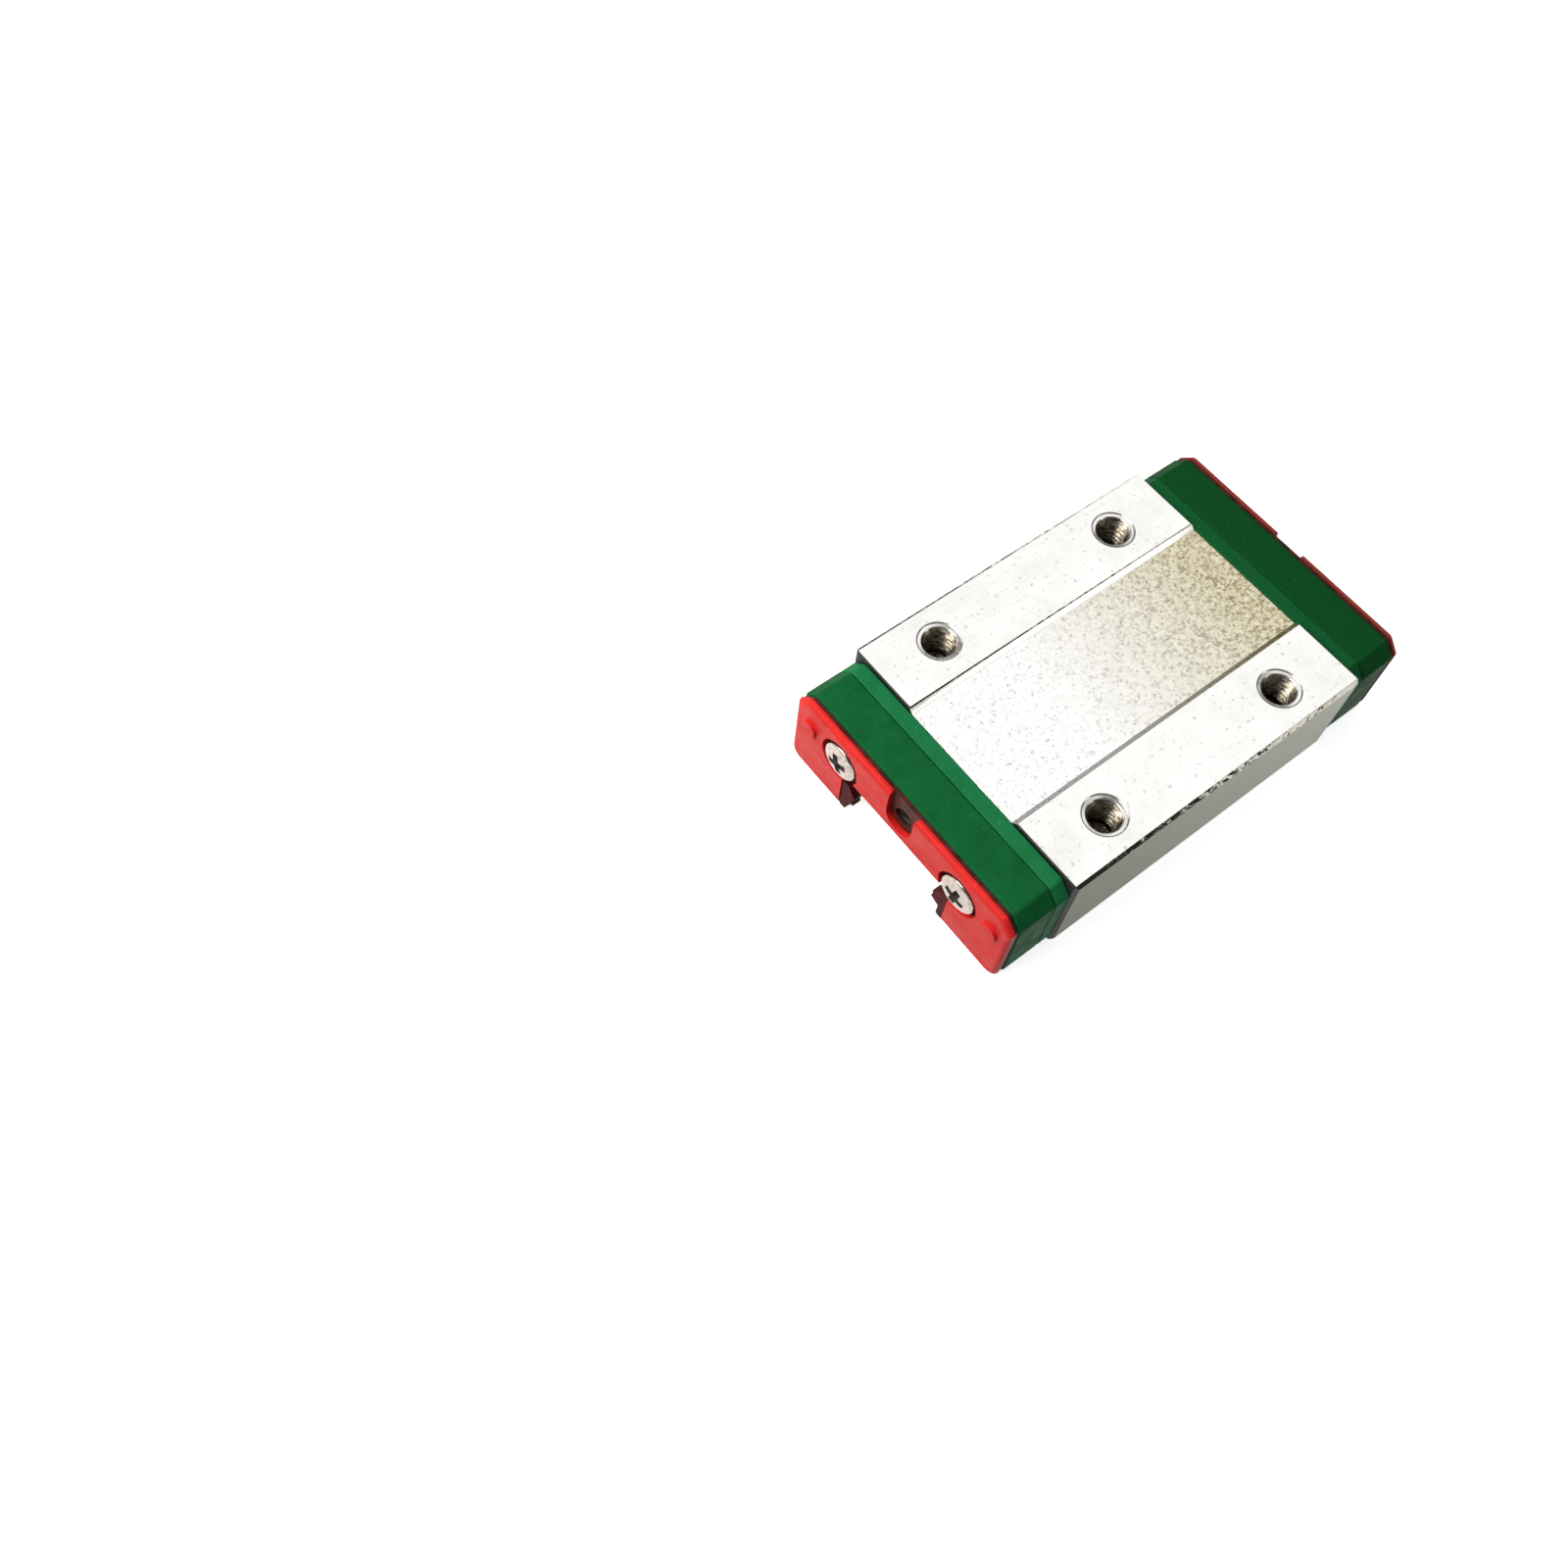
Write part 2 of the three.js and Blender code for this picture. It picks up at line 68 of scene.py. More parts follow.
BLOCK_END = span("carriage_block", 0)[1]
BLOCK_SIDE = span("carriage_block", 1)[1]
BLOCK_TOP = span("carriage_block", 2)[1]
PLATE_START = span("return_plate_rear", 0)[0]
CAP_START, CAP_END = span("end_cap_rear", 0)
CAP_SIDE = span("end_cap_rear", 1)[1]
CAP_BASE, CAP_TOP = span("end_cap_rear", 2)
SEAL_START, STUD_END = span("end_seal_rear", 0)
WIPER_START, LIP_END = span("wiper_rear", 0)
SCREW_TIP, HEAD_END = span("end_screw_rear_left", 0)
SCREW_Y = sum(span("end_screw_rear_left", 1)) / 2
SCREW_Z = sum(span("end_screw_rear_left", 2)) / 2
BALL_Z = sum(span("ball_left_01", 2)) / 2
LOADED_Y = sum(span("ball_left_01", 1)) / 2
RETURN_Y = sum(span("return_balls_left", 1)) / 2
FIRST_BALL_X = sum(span("ball_left_01", 0)) / 2
SECOND_BALL_X = sum(span("ball_left_02", 0)) / 2

# ---- Sizes of details, in millimetres ----

LENGTH = 2 * LIP_END
CHAMFER = 0.3
END_CHAMFER = 0.1
RECESS_SIDE = 6.5
RECESS_DEPTH = 0.45
RECESS_LIP = 0.06
CHANNEL_SIDE = 6.4
CHANNEL_TOP = 5.35
MOUNT_XY = 10.0
TAP_RADIUS = 1.25
THREAD_RADIUS = 1.5
THREAD_PITCH = 0.5
THREAD_DEPTH = 3.5
THREAD_RUN_OUT = 0.2
THREAD_LEAD_IN = 0.07
THREAD_INSET = 0.01  # keeps a thread clear of the bore that it is cut in
DRILL_TIP_SLOPE = 0.6
SINK_RADIUS = 1.92
SHELF_RADIUS = 1.84
SHELF_DEPTH = 0.09
SHELF_SLOPE = 0.04
SINK_DEPTH = 0.2
BALL_RADIUS = 1.1905
ROW_BALLS = 13
BALL_PITCH = SECOND_BALL_X - FIRST_BALL_X
RACE_RADIUS = 1.33
RACE_OFFSET = 0.06
RACE_MOUTH = 0.4
TURN_X = 17.3
TURN_RADIUS = (RETURN_Y - LOADED_Y) / 2
TURN_Y = (RETURN_Y + LOADED_Y) / 2
PLATE_GAP = 0.05
PLATE_END = CAP_START - PLATE_GAP
PLATE_SINK = 0.1  # how far the half-moon guides sink into their plate
GUIDE_RADIUS = 1.5
GUIDE_HALF_HEIGHT = 1.6
GUIDE_GAP = 0.1
GUIDE_EASE = 0.05
TONGUE_RADIUS = 1.15
TONGUE_STOP = 0.5  # how far the tongues end before the outer face of their cap
SHEET_END = 21.78
SHEET_EDGE = 0.12
SEAL_END = 22.35
SEAL_EDGE = 0.05
SEAL_ROUND = 0.45
OPENING_SIDE = 6.35
OPENING_TOP = 5.4
SEAL_OPENING_SIDE = 6.7
SEAL_OPENING_TOP = 5.2
TOP_CORNER = 1.2
BASE_CORNER = 0.9
LUBE_Z = 7.25
LUBE_RADIUS = 0.95
LUBE_DEPTH = 4.6
LUBE_TIP_RADIUS = 0.35
NOTCH_RADIUS = 1.5
NOTCH_MOUTH = 0.3
STUD_Y = 11.2
STUD_Z = 6.45
STUD_RADIUS = 0.85
STUD_SINK = 0.3
SCREW_BORE = 1.1
HEAD_FACE = 1.84
HEAD_SEAT = 21.8
HEAD_HOLE_RADIUS = 2.2
CROSS_DEPTH = 0.62
CROSS_RISE = 0.3  # how far the recess's cutter stands above the top of the head
CROSS_SPAN = 1.45  # half spans and half widths of the arms, at the cutter's top and bottom
CROSS_WIDTH = 0.42
CROSS_TIP_SPAN = 0.5
CROSS_TIP_WIDTH = 0.16
SHANK_CORE = 0.75
SHANK_CREST = 0.95
SHANK_PITCH = 0.4
SCREW_SPINS = {"left": 0.35, "right": -0.2}  # how far each screw is turned, in radians
RAIL_SIDE = 5.95
RAIL_TOP = 5.12
RAIL_CHAMFER = 0.35
EAR_TOP = 4.2
EAR_BASE = 1.7
EAR_TOOTH_Y = 5.05
EAR_SLOT_Y = 5.4
EAR_TOOTH = 0.55  # half heights of the ear's tooth and of the slot in it
EAR_SLOT = 0.2
EAR_SHEET_SIDE = 7.5
EAR_SHEET_TOP = 6.0
LIP_SIDE = 6.6
WIRE_RADIUS = 0.25
WIRE_GAP = 0.1
WIRE_Y = 4.7
WIRE_END = 20.55
WIRE_HOOK = 1.1
WIRE_BEND = 0.5
WIRE_BEND_STEPS = 8


# ---- Mesh tools ----


def mesh_object(name, vertices, faces, material=None):
    mesh = bpy.data.meshes.new(name)
    mesh.from_pydata([tuple(v) for v in vertices], [], faces)
    built = bmesh.new()
    built.from_mesh(mesh)
    bmesh.ops.recalc_face_normals(built, faces=built.faces)
    built.to_mesh(mesh)
    built.free()
    if material:
        mesh.materials.append(material)
    made = bpy.data.objects.new(name, mesh)
    bpy.context.scene.collection.objects.link(made)
    return made


def bake(body):
    """Applies an object's modifiers to its mesh."""
    graph = bpy.context.evaluated_depsgraph_get()
    old = body.data
    body.data = bpy.data.meshes.new_from_object(body.evaluated_get(graph))
    body.modifiers.clear()
    bpy.data.meshes.remove(old)
    built = bmesh.new()
    built.from_mesh(body.data)
    bmesh.ops.remove_doubles(built, verts=built.verts, dist=1e-4)
    built.to_mesh(body.data)
    built.free()
    return body


def combine(body, tools, operation="DIFFERENCE"):
    """Cuts or joins the tools. A face that a tool leaves keeps the tool's material."""
    for tool in tools:
        step = body.modifiers.new(tool.name, "BOOLEAN")
        step.operation = operation
        step.solver = "EXACT"
        step.material_mode = "TRANSFER"
        step.object = tool
    bake(body)
    for tool in tools:
        bpy.data.objects.remove(tool)
    return body


def soften(body, width, segments=2, angle=30):
    """Rounds the edges sharper than an angle."""
    step = body.modifiers.new("edges", "BEVEL")
    step.width = width
    step.segments = segments
    step.limit_method = "ANGLE"
    step.angle_limit = math.radians(angle)
    return bake(body)


def rounded(corners, steps=ARC_STEPS):
    """An outline whose corners, each (u, v, radius), are rounded."""
    points = []
    for index, (u, v, radius) in enumerate(corners):
        here = Vector((u, v))
        if radius == 0:
            points.append(here)
            continue
        back = (Vector(corners[index - 1][:2]) - here).normalized()
        ahead = (Vector(corners[(index + 1) % len(corners)][:2]) - here).normalized()
        half = back.angle(ahead) / 2
        centre = here + (back + ahead).normalized() * radius / math.sin(half)
        start = here + back * radius / math.tan(half) - centre
        end = here + ahead * radius / math.tan(half) - centre
        sweep = start.angle(end)
        for step in range(steps + 1):
            share = step / steps
            mixed = start * math.sin((1 - share) * sweep) + end * math.sin(share * sweep)
            points.append(centre + mixed / math.sin(sweep))
    return points


def mirrored(half):
    """A closed outline from the corners on one side of the middle."""
    return [*half, *[(-corner[0], *corner[1:]) for corner in reversed(half)]]


def arc(centre_u, centre_v, radius, start, end, steps):
    """Points on an arc, with its angles in degrees."""
    turns = [math.radians(start + (end - start) * i / steps) for i in range(steps + 1)]
    return [(centre_u + radius * math.cos(t), centre_v + radius * math.sin(t)) for t in turns]


def prism(name, outline, start, end, material=None, axis=0):
    """An outline drawn in the two axes after the one named, extruded along it."""
    count = len(outline)
    vertices = []
    for place in (start, end):
        for u, v in outline:
            corner = [0.0, 0.0, 0.0]
            corner[axis] = place
            corner[(axis + 1) % 3] = u
            corner[(axis + 2) % 3] = v
            vertices.append(corner)
    sides = [(i, (i + 1) % count, count + (i + 1) % count, count + i) for i in range(count)]
    caps = [tuple(range(count)), tuple(range(count, 2 * count))]
    return mesh_object(name, vertices, sides + caps, material)


def bar(name, radius, start, end, y, z, material=None, sides=ROUND):
    """A round bar along X."""
    return prism(name, arc(y, z, radius, 0, 360 - 360 / sides, sides - 1), start, end, material)


def block_of(name, x_span, y_span, z_span, material=None):
    (low_y, high_y), (low_z, high_z) = y_span, z_span
    outline = [(low_y, low_z), (high_y, low_z), (high_y, high_z), (low_y, high_z)]
    return prism(name, outline, *x_span, material)


def turned(name, profile, place, material=None, sides=ROUND, along_x=False):
    """A profile of (radius, height) pairs that starts and ends on the axis, spun about it."""
    vertices = [(0, 0, profile[0][1])]
    rings = profile[1:-1]
    for radius, height in rings:
        for i in range(sides):
            turn = 2 * math.pi * i / sides
            vertices.append((radius * math.cos(turn), radius * math.sin(turn), height))
    vertices.append((0, 0, profile[-1][1]))
    faces = ring_faces(len(rings), sides)
    made = mesh_object(name, vertices, faces, material)
    if along_x:
        made.data.transform(Matrix.Rotation(math.pi / 2, 4, "Y"))
    made.data.transform(Matrix.Translation(place))
    return made


def ring_faces(rings, sides):
    """Faces of a body of rings, with its first and last vertices as its two poles."""
    faces = []
    last = rings * sides + 1
    for i in range(sides):
        ahead = (i + 1) % sides
        faces.append((0, 1 + ahead, 1 + i))
        top = 1 + (rings - 1) * sides
        faces.append((last, top + i, top + ahead))
        for ring in range(rings - 1):
            low = 1 + ring * sides
            faces.append((low + i, low + ahead, low + sides + ahead, low + sides + i))
    return faces


def threaded_rod(
    name, core, crest, pitch, bottom, top, place, material=None, sides=48, along_x=False
):
    """A rod with a 60 degree helical thread: its radius rises and falls once in each pitch."""
    rings = int((top - bottom) / pitch * THREAD_RINGS) + 1
    vertices = [(0, 0, bottom)]
    for ring in range(rings):
        height = bottom + (top - bottom) * ring / (rings - 1)
        for i in range(sides):
            phase = (height / pitch - i / sides) % 1.0
            wave = 1 - abs(2 * phase - 1)
            rise = min(1.0, max(0.0, THREAD_GAIN * wave - THREAD_FLAT))
            radius = core + (crest - core) * rise
            turn = 2 * math.pi * i / sides
            vertices.append((radius * math.cos(turn), radius * math.sin(turn), height))
    vertices.append((0, 0, top))
    made = mesh_object(name, vertices, ring_faces(rings, sides), material)
    if along_x:
        made.data.transform(Matrix.Rotation(math.pi / 2, 4, "Y"))
    made.data.transform(Matrix.Translation(place))
    return made


def ring_tube(name, centre, ring_radius, tube_radius, material=None, around=64, sides=32):
    """A whole torus that lies flat."""
    vertices = []
    faces = []
    for i in range(around):
        turn = 2 * math.pi * i / around
        for j in range(sides):
            tilt = 2 * math.pi * j / sides
            reach = ring_radius + tube_radius * math.cos(tilt)
            height = tube_radius * math.sin(tilt)
            vertices.append((reach * math.cos(turn), reach * math.sin(turn), height))
            after, up = (i + 1) % around, (j + 1) % sides
            faces.append((i * sides + j, after * sides + j, after * sides + up, i * sides + up))
    made = mesh_object(name, vertices, faces, material)
    made.data.transform(Matrix.Translation(centre))
    return made


def tube(name, path, radius, material=None, sides=16):
    """A round tube along a path that lies flat, with domed ends."""
    vertices, rings = [], []
    count = len(path)
    for index, place in enumerate(path):
        ahead = path[min(index + 1, count - 1)] - path[max(index - 1, 0)]
        across = ahead.normalized().cross(Vector((0, 0, 1)))
        rings.append((place, across, radius))
    first, last = path[0] - path[1], path[-1] - path[-2]
    rings.insert(0, (path[0] + first.normalized() * radius / 2, rings[0][1], 0.8 * radius))
    rings.append((path[-1] + last.normalized() * radius / 2, rings[-1][1], 0.8 * radius))
    vertices.append(path[0] + first.normalized() * 0.75 * radius)
    for place, across, size in rings:
        for j in range(sides):
            tilt = 2 * math.pi * j / sides
            offset = across * math.cos(tilt) + Vector((0, 0, 1)) * math.sin(tilt)
            vertices.append(place + offset * size)
    vertices.append(path[-1] + last.normalized() * 0.75 * radius)
    return mesh_object(name, vertices, ring_faces(len(rings), sides), material)


def turn_end_for_end(body):
    body.data.transform(Matrix.Rotation(math.pi, 4, "Z"))
    return body


def finish_piece(body, rides_on, nodes, smooth_angle=30):
    """Scales a piece to metres, shades it, and puts it in the frame in place of its CAD nodes."""
    body.data.transform(Matrix.Scale(MM, 4))
    for face in body.data.polygons:
        face.use_smooth = True
    body.data.set_sharp_from_angle(angle=math.radians(smooth_angle))
    flatten = body.modifiers.new("large_faces_lead", "WEIGHTED_NORMAL")
    flatten.keep_sharp = True
    flatten.weight = 100
    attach(body, rides_on)
    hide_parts(*nodes)
    return body


# ---- Materials ----

# How fast a finish changes towards the rear, for each millimetre
GRAIN_DRIFT = 1 / 26.0
WEAR_DRIFT = 1 / 110.0


class Shader:
    """A material under construction. Its textures are laid out in millimetres on the piece itself."""

    def __init__(self, name, roughness=0.4, metallic=0.0):
        self.material = bpy.data.materials.new(name)
        self.material.use_nodes = True
        self.tree = self.material.node_tree
        self.tree.nodes.clear()
        self.surface = self.node("ShaderNodeBsdfPrincipled")
        self.surface.inputs["Roughness"].default_value = roughness
        self.surface.inputs["Metallic"].default_value = metallic
        output = self.node("ShaderNodeOutputMaterial")
        self.link(self.surface.outputs[0], output.inputs["Surface"])
        place = self.node("ShaderNodeTexCoord").outputs["Object"]
        self.place = self.scaled(place, (1 / MM, 1 / MM, 1 / MM))

    def node(self, kind, **settings):
        made = self.tree.nodes.new(kind)
        for key, value in settings.items():
            setattr(made, key, value)
        return made

    def link(self, source, target):
        self.tree.links.new(source, target)

    def scaled(self, place, scale):
        mapping = self.node("ShaderNodeMapping")
        mapping.inputs["Scale"].default_value = scale
        self.link(place, mapping.inputs["Vector"])
        return mapping.outputs["Vector"]

    def noise(self, scale, detail=3.0, roughness=0.5, stretch=(1, 1, 1)):
        made = self.node("ShaderNodeTexNoise")
        made.inputs["Scale"].default_value = scale
        made.inputs["Detail"].default_value = detail
        made.inputs["Roughness"].default_value = roughness
        self.link(self.scaled(self.place, stretch), made.inputs["Vector"])
        return made.outputs["Fac"]

    def ramp(self, value, *stops):
        """Maps a value to colours, or to numbers given as grey, each at its place from 0 to 1."""
        made = self.node("ShaderNodeValToRGB")
        elements = made.color_ramp.elements
        while len(elements) < len(stops):
            elements.new(0.5)
        for element, (where, colour) in zip(elements, stops):
            element.position = where
            grey = isinstance(colour, (int, float))
            element.color = (colour, colour, colour, 1) if grey else (*colour, 1)
        self.link(value, made.inputs["Fac"])
        return made.outputs["Color"]

    def mix(self, share, first, second, blend="MIX"):
        made = self.node("ShaderNodeMix", data_type="RGBA", blend_type=blend)
        for value, socket in ((share, 0), (first, 6), (second, 7)):
            if isinstance(value, bpy.types.NodeSocket):
                self.link(value, made.inputs[socket])
            elif socket == 0:
                made.inputs[socket].default_value = value
            else:
                made.inputs[socket].default_value = (*value, 1)
        return made.outputs[2]

    def maths(self, operation, first, second=0.0):
        made = self.node("ShaderNodeMath", operation=operation)
        for value, socket in ((first, 0), (second, 1)):
            if isinstance(value, bpy.types.NodeSocket):
                self.link(value, made.inputs[socket])
            else:
                made.inputs[socket].default_value = value
        return made.outputs[0]

    def axis(self, name):
        made = self.node("ShaderNodeSeparateXYZ")
        self.link(self.place, made.inputs[0])
        return made.outputs[name]

    def front_to_rear(self):
        """From 0 at the front end of the carriage to 1 at its rear end."""
        return self.maths("ADD", self.maths("MULTIPLY", self.axis("X"), 1 / LENGTH), 0.5)

    def colour(self, source):
        self.link(source, self.surface.inputs["Base Color"])

    def roughness(self, source):
        self.link(source, self.surface.inputs["Roughness"])

    def bump(self, *layers):
        """Adds layers of relief: each is a height from 0 to 1 and its depth in millimetres."""
        normal = None
        for height, depth in layers:
            made = self.node("ShaderNodeBump")
            made.inputs["Strength"].default_value = 1.0
            made.inputs["Distance"].default_value = depth * MM
            self.link(height, made.inputs["Height"])
            if normal:
                self.link(normal, made.inputs["Normal"])
            normal = made.outputs["Normal"]
        self.link(normal, self.surface.inputs["Normal"])


def ground_nickel():
    """Ground and nickel plated lands: fine lines along the travel, faint stains and a few pits."""
    look = Shader("ground_nickel", metallic=1.0)
    lines = look.noise(3.0, detail=4, stretch=(0.08, 3.0, 3.0))
    stains = look.noise(0.35, detail=5, roughness=0.6)
    pits = look.noise(2.1, detail=3, roughness=0.6)
    shade = look.ramp(stains, (0.3, (0.87, 0.86, 0.82)), (0.7, (0.97, 0.965, 0.945)))
    marks = look.ramp(pits, (0.32, (0.66, 0.65, 0.63)), (0.38, (1, 1, 1)))
    look.colour(look.mix(1.0, shade, marks, blend="MULTIPLY"))
    look.roughness(look.ramp(lines, (0.25, 0.24), (0.75, 0.36)))
    look.bump((lines, 0.004), (stains, 0.02))
    return look.material


def blasted_nickel():
    """The recess: a coarse warm grain that grows stronger towards the rear, with pale specks that take
    over near the front.
    """
    look = Shader("blasted_nickel", metallic=1.0)
    grain = look.noise(3.4, detail=3, roughness=0.65)
    coarse = look.noise(1.6, detail=4, roughness=0.6)
    drift = look.maths("ADD", look.maths("MULTIPLY", look.axis("X"), GRAIN_DRIFT), 0.30)
    wander = look.maths("ADD", drift, look.maths("MULTIPLY", coarse, 0.35))
    grain_share = look.ramp(wander, (0.25, 0.0), (1.0, 1.0))
    warm = look.ramp(coarse, (0.3, (0.66, 0.59, 0.40)), (0.7, (0.86, 0.81, 0.62)))
    hollows = look.ramp(grain, (0.38, (0.50, 0.44, 0.31)), (0.54, (1, 1, 1)))
    grainy = look.mix(1.0, warm, hollows, blend="MULTIPLY")
    specks = look.ramp(grain, (0.33, (0.66, 0.63, 0.55)), (0.39, (1.0, 0.995, 0.98)))
    look.colour(look.mix(grain_share, specks, grainy))
    look.roughness(look.ramp(grain, (0.3, 0.42), (0.7, 0.28)))
    look.bump((grain, 0.03), (coarse, 0.03))
    return look.material


def machined_nickel():
    """Turned surfaces: the countersinks and the ball races."""
    look = Shader("machined_nickel", metallic=1.0)
    rings = look.noise(6.0, detail=3, stretch=(0.4, 0.4, 3.0))
    look.colour(look.ramp(rings, (0.3, (0.80, 0.77, 0.72)), (0.7, (0.93, 0.91, 0.87))))
    look.roughness(look.ramp(rings, (0.3, 0.18), (0.7, 0.28)))
    look.bump((rings, 0.004))
    return look.material


def painted_shade_bore():
    """The tapped holes in the steel: near-black patches of painted shade and pale beige patches of
    painted highlight.
    """
    look = Shader("painted_shade_bore", metallic=1.0)
    shade_and_highlight_patches = look.noise(2.2, detail=4, roughness=0.6)
    # painted shade and painted highlight: near-black and pale beige patches stand for the shade and the
    # glint in the holes
    look.colour(look.ramp(shade_and_highlight_patches, (0.36, (0.05, 0.04, 0.03)), (0.66, (0.50, 0.43, 0.32))))
    look.roughness(look.ramp(shade_and_highlight_patches, (0.3, 0.30), (0.7, 0.45)))
    look.bump((shade_and_highlight_patches, 0.02))
    return look.material


def polished_wall():
    """The left sloping wall of the recess, smoother than the lands."""
    look = Shader("polished_wall", metallic=1.0)
    lines = look.noise(3.0, detail=4, stretch=(0.1, 3.0, 3.0))
    look.colour(look.ramp(lines, (0.3, (0.84, 0.80, 0.70)), (0.7, (0.93, 0.91, 0.85))))
    look.roughness(look.ramp(lines, (0.3, 0.10), (0.7, 0.20)))
    look.bump((lines, 0.003))
    return look.material


def side_nickel():
    """The ground sides and underside, brushed along the travel. Their dark colour, darkest at the front,
    and their dimmed edge tint are painted shade for the shadowed floor that they reflect.
    """
    look = Shader("side_nickel", metallic=1.0)
    lines = look.noise(2.4, detail=5, stretch=(0.06, 2.5, 2.5))
    cloud = look.noise(0.5, detail=3)
    # painted shade: the side is darkened, most at the front, for the shadowed floor that it reflects
    front = look.ramp(cloud, (0.3, (0.12, 0.12, 0.097)), (0.7, (0.155, 0.153, 0.122)))
    side_painted_shade = look.mix(look.front_to_rear(), front, (0.47, 0.49, 0.45))
    streaks = look.ramp(lines, (0.3, (0.82, 0.82, 0.82)), (0.7, (1, 1, 1)))
    look.colour(look.mix(1.0, side_painted_shade, streaks, blend="MULTIPLY"))
    look.roughness(look.ramp(lines, (0.25, 0.26), (0.75, 0.4)))
    look.bump((lines, 0.006))
    # painted shade: a dimmed edge tint darkens the glancing reflection of the floor
    look.surface.inputs["Specular Tint"].default_value = (0.62, 0.62, 0.56, 1)
    return look.material


def worn_edge():
    """Chamfers and edges, where the plating is broken into bright and dark patches."""
    look = Shader("worn_edge", metallic=1.0)
    patches = look.noise(1.9, detail=5, roughness=0.75, stretch=(1.0, 2.0, 2.0))
    drift = look.maths("ADD", patches, look.maths("MULTIPLY", look.axis("X"), WEAR_DRIFT))
    look.colour(look.ramp(drift, (0.48, (0.02, 0.019, 0.016)), (0.56, (0.84, 0.79, 0.68))))
    look.roughness(look.ramp(patches, (0.4, 0.6), (0.6, 0.25)))
    look.bump((patches, 0.05))
    return look.material


def painted_shade_end():
    """The block's end faces, left as cut, painted near black: painted shade for the shade that falls on
    them between the block and the end caps.
    """
    look = Shader("painted_shade_end", metallic=0.3)
    cuts = look.noise(2.0, detail=4, stretch=(1.0, 0.3, 3.0))
    # painted shade: near black for the shade on the end faces
    look.colour(look.ramp(cuts, (0.3, (0.008, 0.009, 0.007)), (0.7, (0.028, 0.028, 0.024))))
    look.roughness(look.ramp(cuts, (0.3, 0.5), (0.7, 0.65)))
    look.bump((cuts, 0.02))
    return look.material


def moulded_plastic(name, dark, light, rear, roughness, gloss):
    """Satin moulded plastic: a slightly cloudy colour, a fine mould texture and a few pale specks
    of dust. Its colour changes along the carriage to the rear one, a darker copy that is painted
    shade for the light that falls off towards the rear."""
    look = Shader(name)
    cloud = look.noise(0.6, detail=4, roughness=0.6)
    texture = look.noise(7.0, detail=2)
    flow = look.noise(0.8, detail=3, stretch=(1.0, 0.25, 1.0))
    dust = look.noise(3.2, detail=2)
    body = look.ramp(cloud, (0.3, dark), (0.7, light))
    # painted shade: the colour darkens towards a rear copy, for the light that falls off towards the rear
    body = look.mix(look.ramp(look.front_to_rear(), (0.3, 0.0), (0.8, 1.0)), body, rear)
    pale = tuple(min(1.0, 1.6 * part + 0.02) for part in light)
    look.colour(look.mix(look.ramp(dust, (0.69, 0.0), (0.76, 0.7)), body, pale))
    look.roughness(look.ramp(flow, (0.3, roughness - 0.08), (0.7, roughness + 0.1)))
    look.bump((texture, 0.006), (flow, 0.03))
    look.surface.inputs["Specular IOR Level"].default_value = gloss
    return look.material


def lip_rubber():
    look = Shader("lip_rubber")
    cloud = look.noise(1.5, detail=4)
    skin = look.noise(6.0, detail=3)
    look.colour(look.ramp(cloud, (0.3, (0.040, 0.003, 0.003)), (0.7, (0.10, 0.006, 0.005))))
    look.roughness(look.ramp(skin, (0.3, 0.45), (0.7, 0.65)))
    look.bump((skin, 0.02))
    look.surface.inputs["Specular IOR Level"].default_value = 0.05
    return look.material


def coated_sheet():
    """The wiper's sheet, which shows red-brown through its thin rubber coat, darkened further as painted
    shade for the shade in the grease notch and in the seam behind the seal.
    """
    look = Shader("coated_sheet")
    cloud = look.noise(1.2, detail=4)
    skin = look.noise(6.0, detail=3)
    # painted shade: the sheet's red-brown is darkened further for the shade in the grease notch and in
    # the seam behind the seal
    look.colour(look.ramp(cloud, (0.3, (0.032, 0.009, 0.007)), (0.7, (0.12, 0.028, 0.021))))
    look.roughness(look.ramp(skin, (0.3, 0.42), (0.7, 0.6)))
    look.bump((skin, 0.02))
    look.surface.inputs["Specular IOR Level"].default_value = 0.08
    return look.material


def screw_nickel():
    look = Shader("screw_nickel", metallic=1.0)
    tumble = look.noise(3.0, detail=4, roughness=0.6)
    look.colour(look.ramp(tumble, (0.3, (0.26, 0.215, 0.185)), (0.7, (0.54, 0.48, 0.42))))
    look.roughness(look.ramp(tumble, (0.3, 0.16), (0.7, 0.32)))
    look.bump((tumble, 0.015))
    return look.material


def hollow_shade_black():
    """The cross recesses and the grease ports, painted near black: painted shade for the shade inside
    them.
    """
    look = Shader("hollow_shade_black", metallic=0.4)
    shade_mottle = look.noise(4.0, detail=4)
    # painted shade: near black for the shade inside the recesses and ports
    look.colour(look.ramp(shade_mottle, (0.35, (0.010, 0.009, 0.008)), (0.7, (0.045, 0.035, 0.028))))
    look.roughness(look.ramp(shade_mottle, (0.3, 0.5), (0.7, 0.75)))
    look.bump((shade_mottle, 0.02))
    return look.material


def polished_ball():
    look = Shader("polished_ball", metallic=1.0)
    haze = look.noise(2.0, detail=4)
    look.colour(look.ramp(haze, (0.3, (0.70, 0.70, 0.70)), (0.7, (0.84, 0.84, 0.83))))
    look.roughness(look.ramp(haze, (0.35, 0.05), (0.7, 0.12)))
    look.bump((haze, 0.001))
    return look.material


def drawn_wire():
    look = Shader("drawn_wire", metallic=1.0)
    draw_lines = look.noise(5.0, detail=3, stretch=(0.1, 2.0, 2.0))
    look.colour(look.ramp(draw_lines, (0.3, (0.52, 0.51, 0.49)), (0.7, (0.74, 0.73, 0.70))))
    look.roughness(look.ramp(draw_lines, (0.3, 0.2), (0.7, 0.35)))
    look.bump((draw_lines, 0.003))
    return look.material


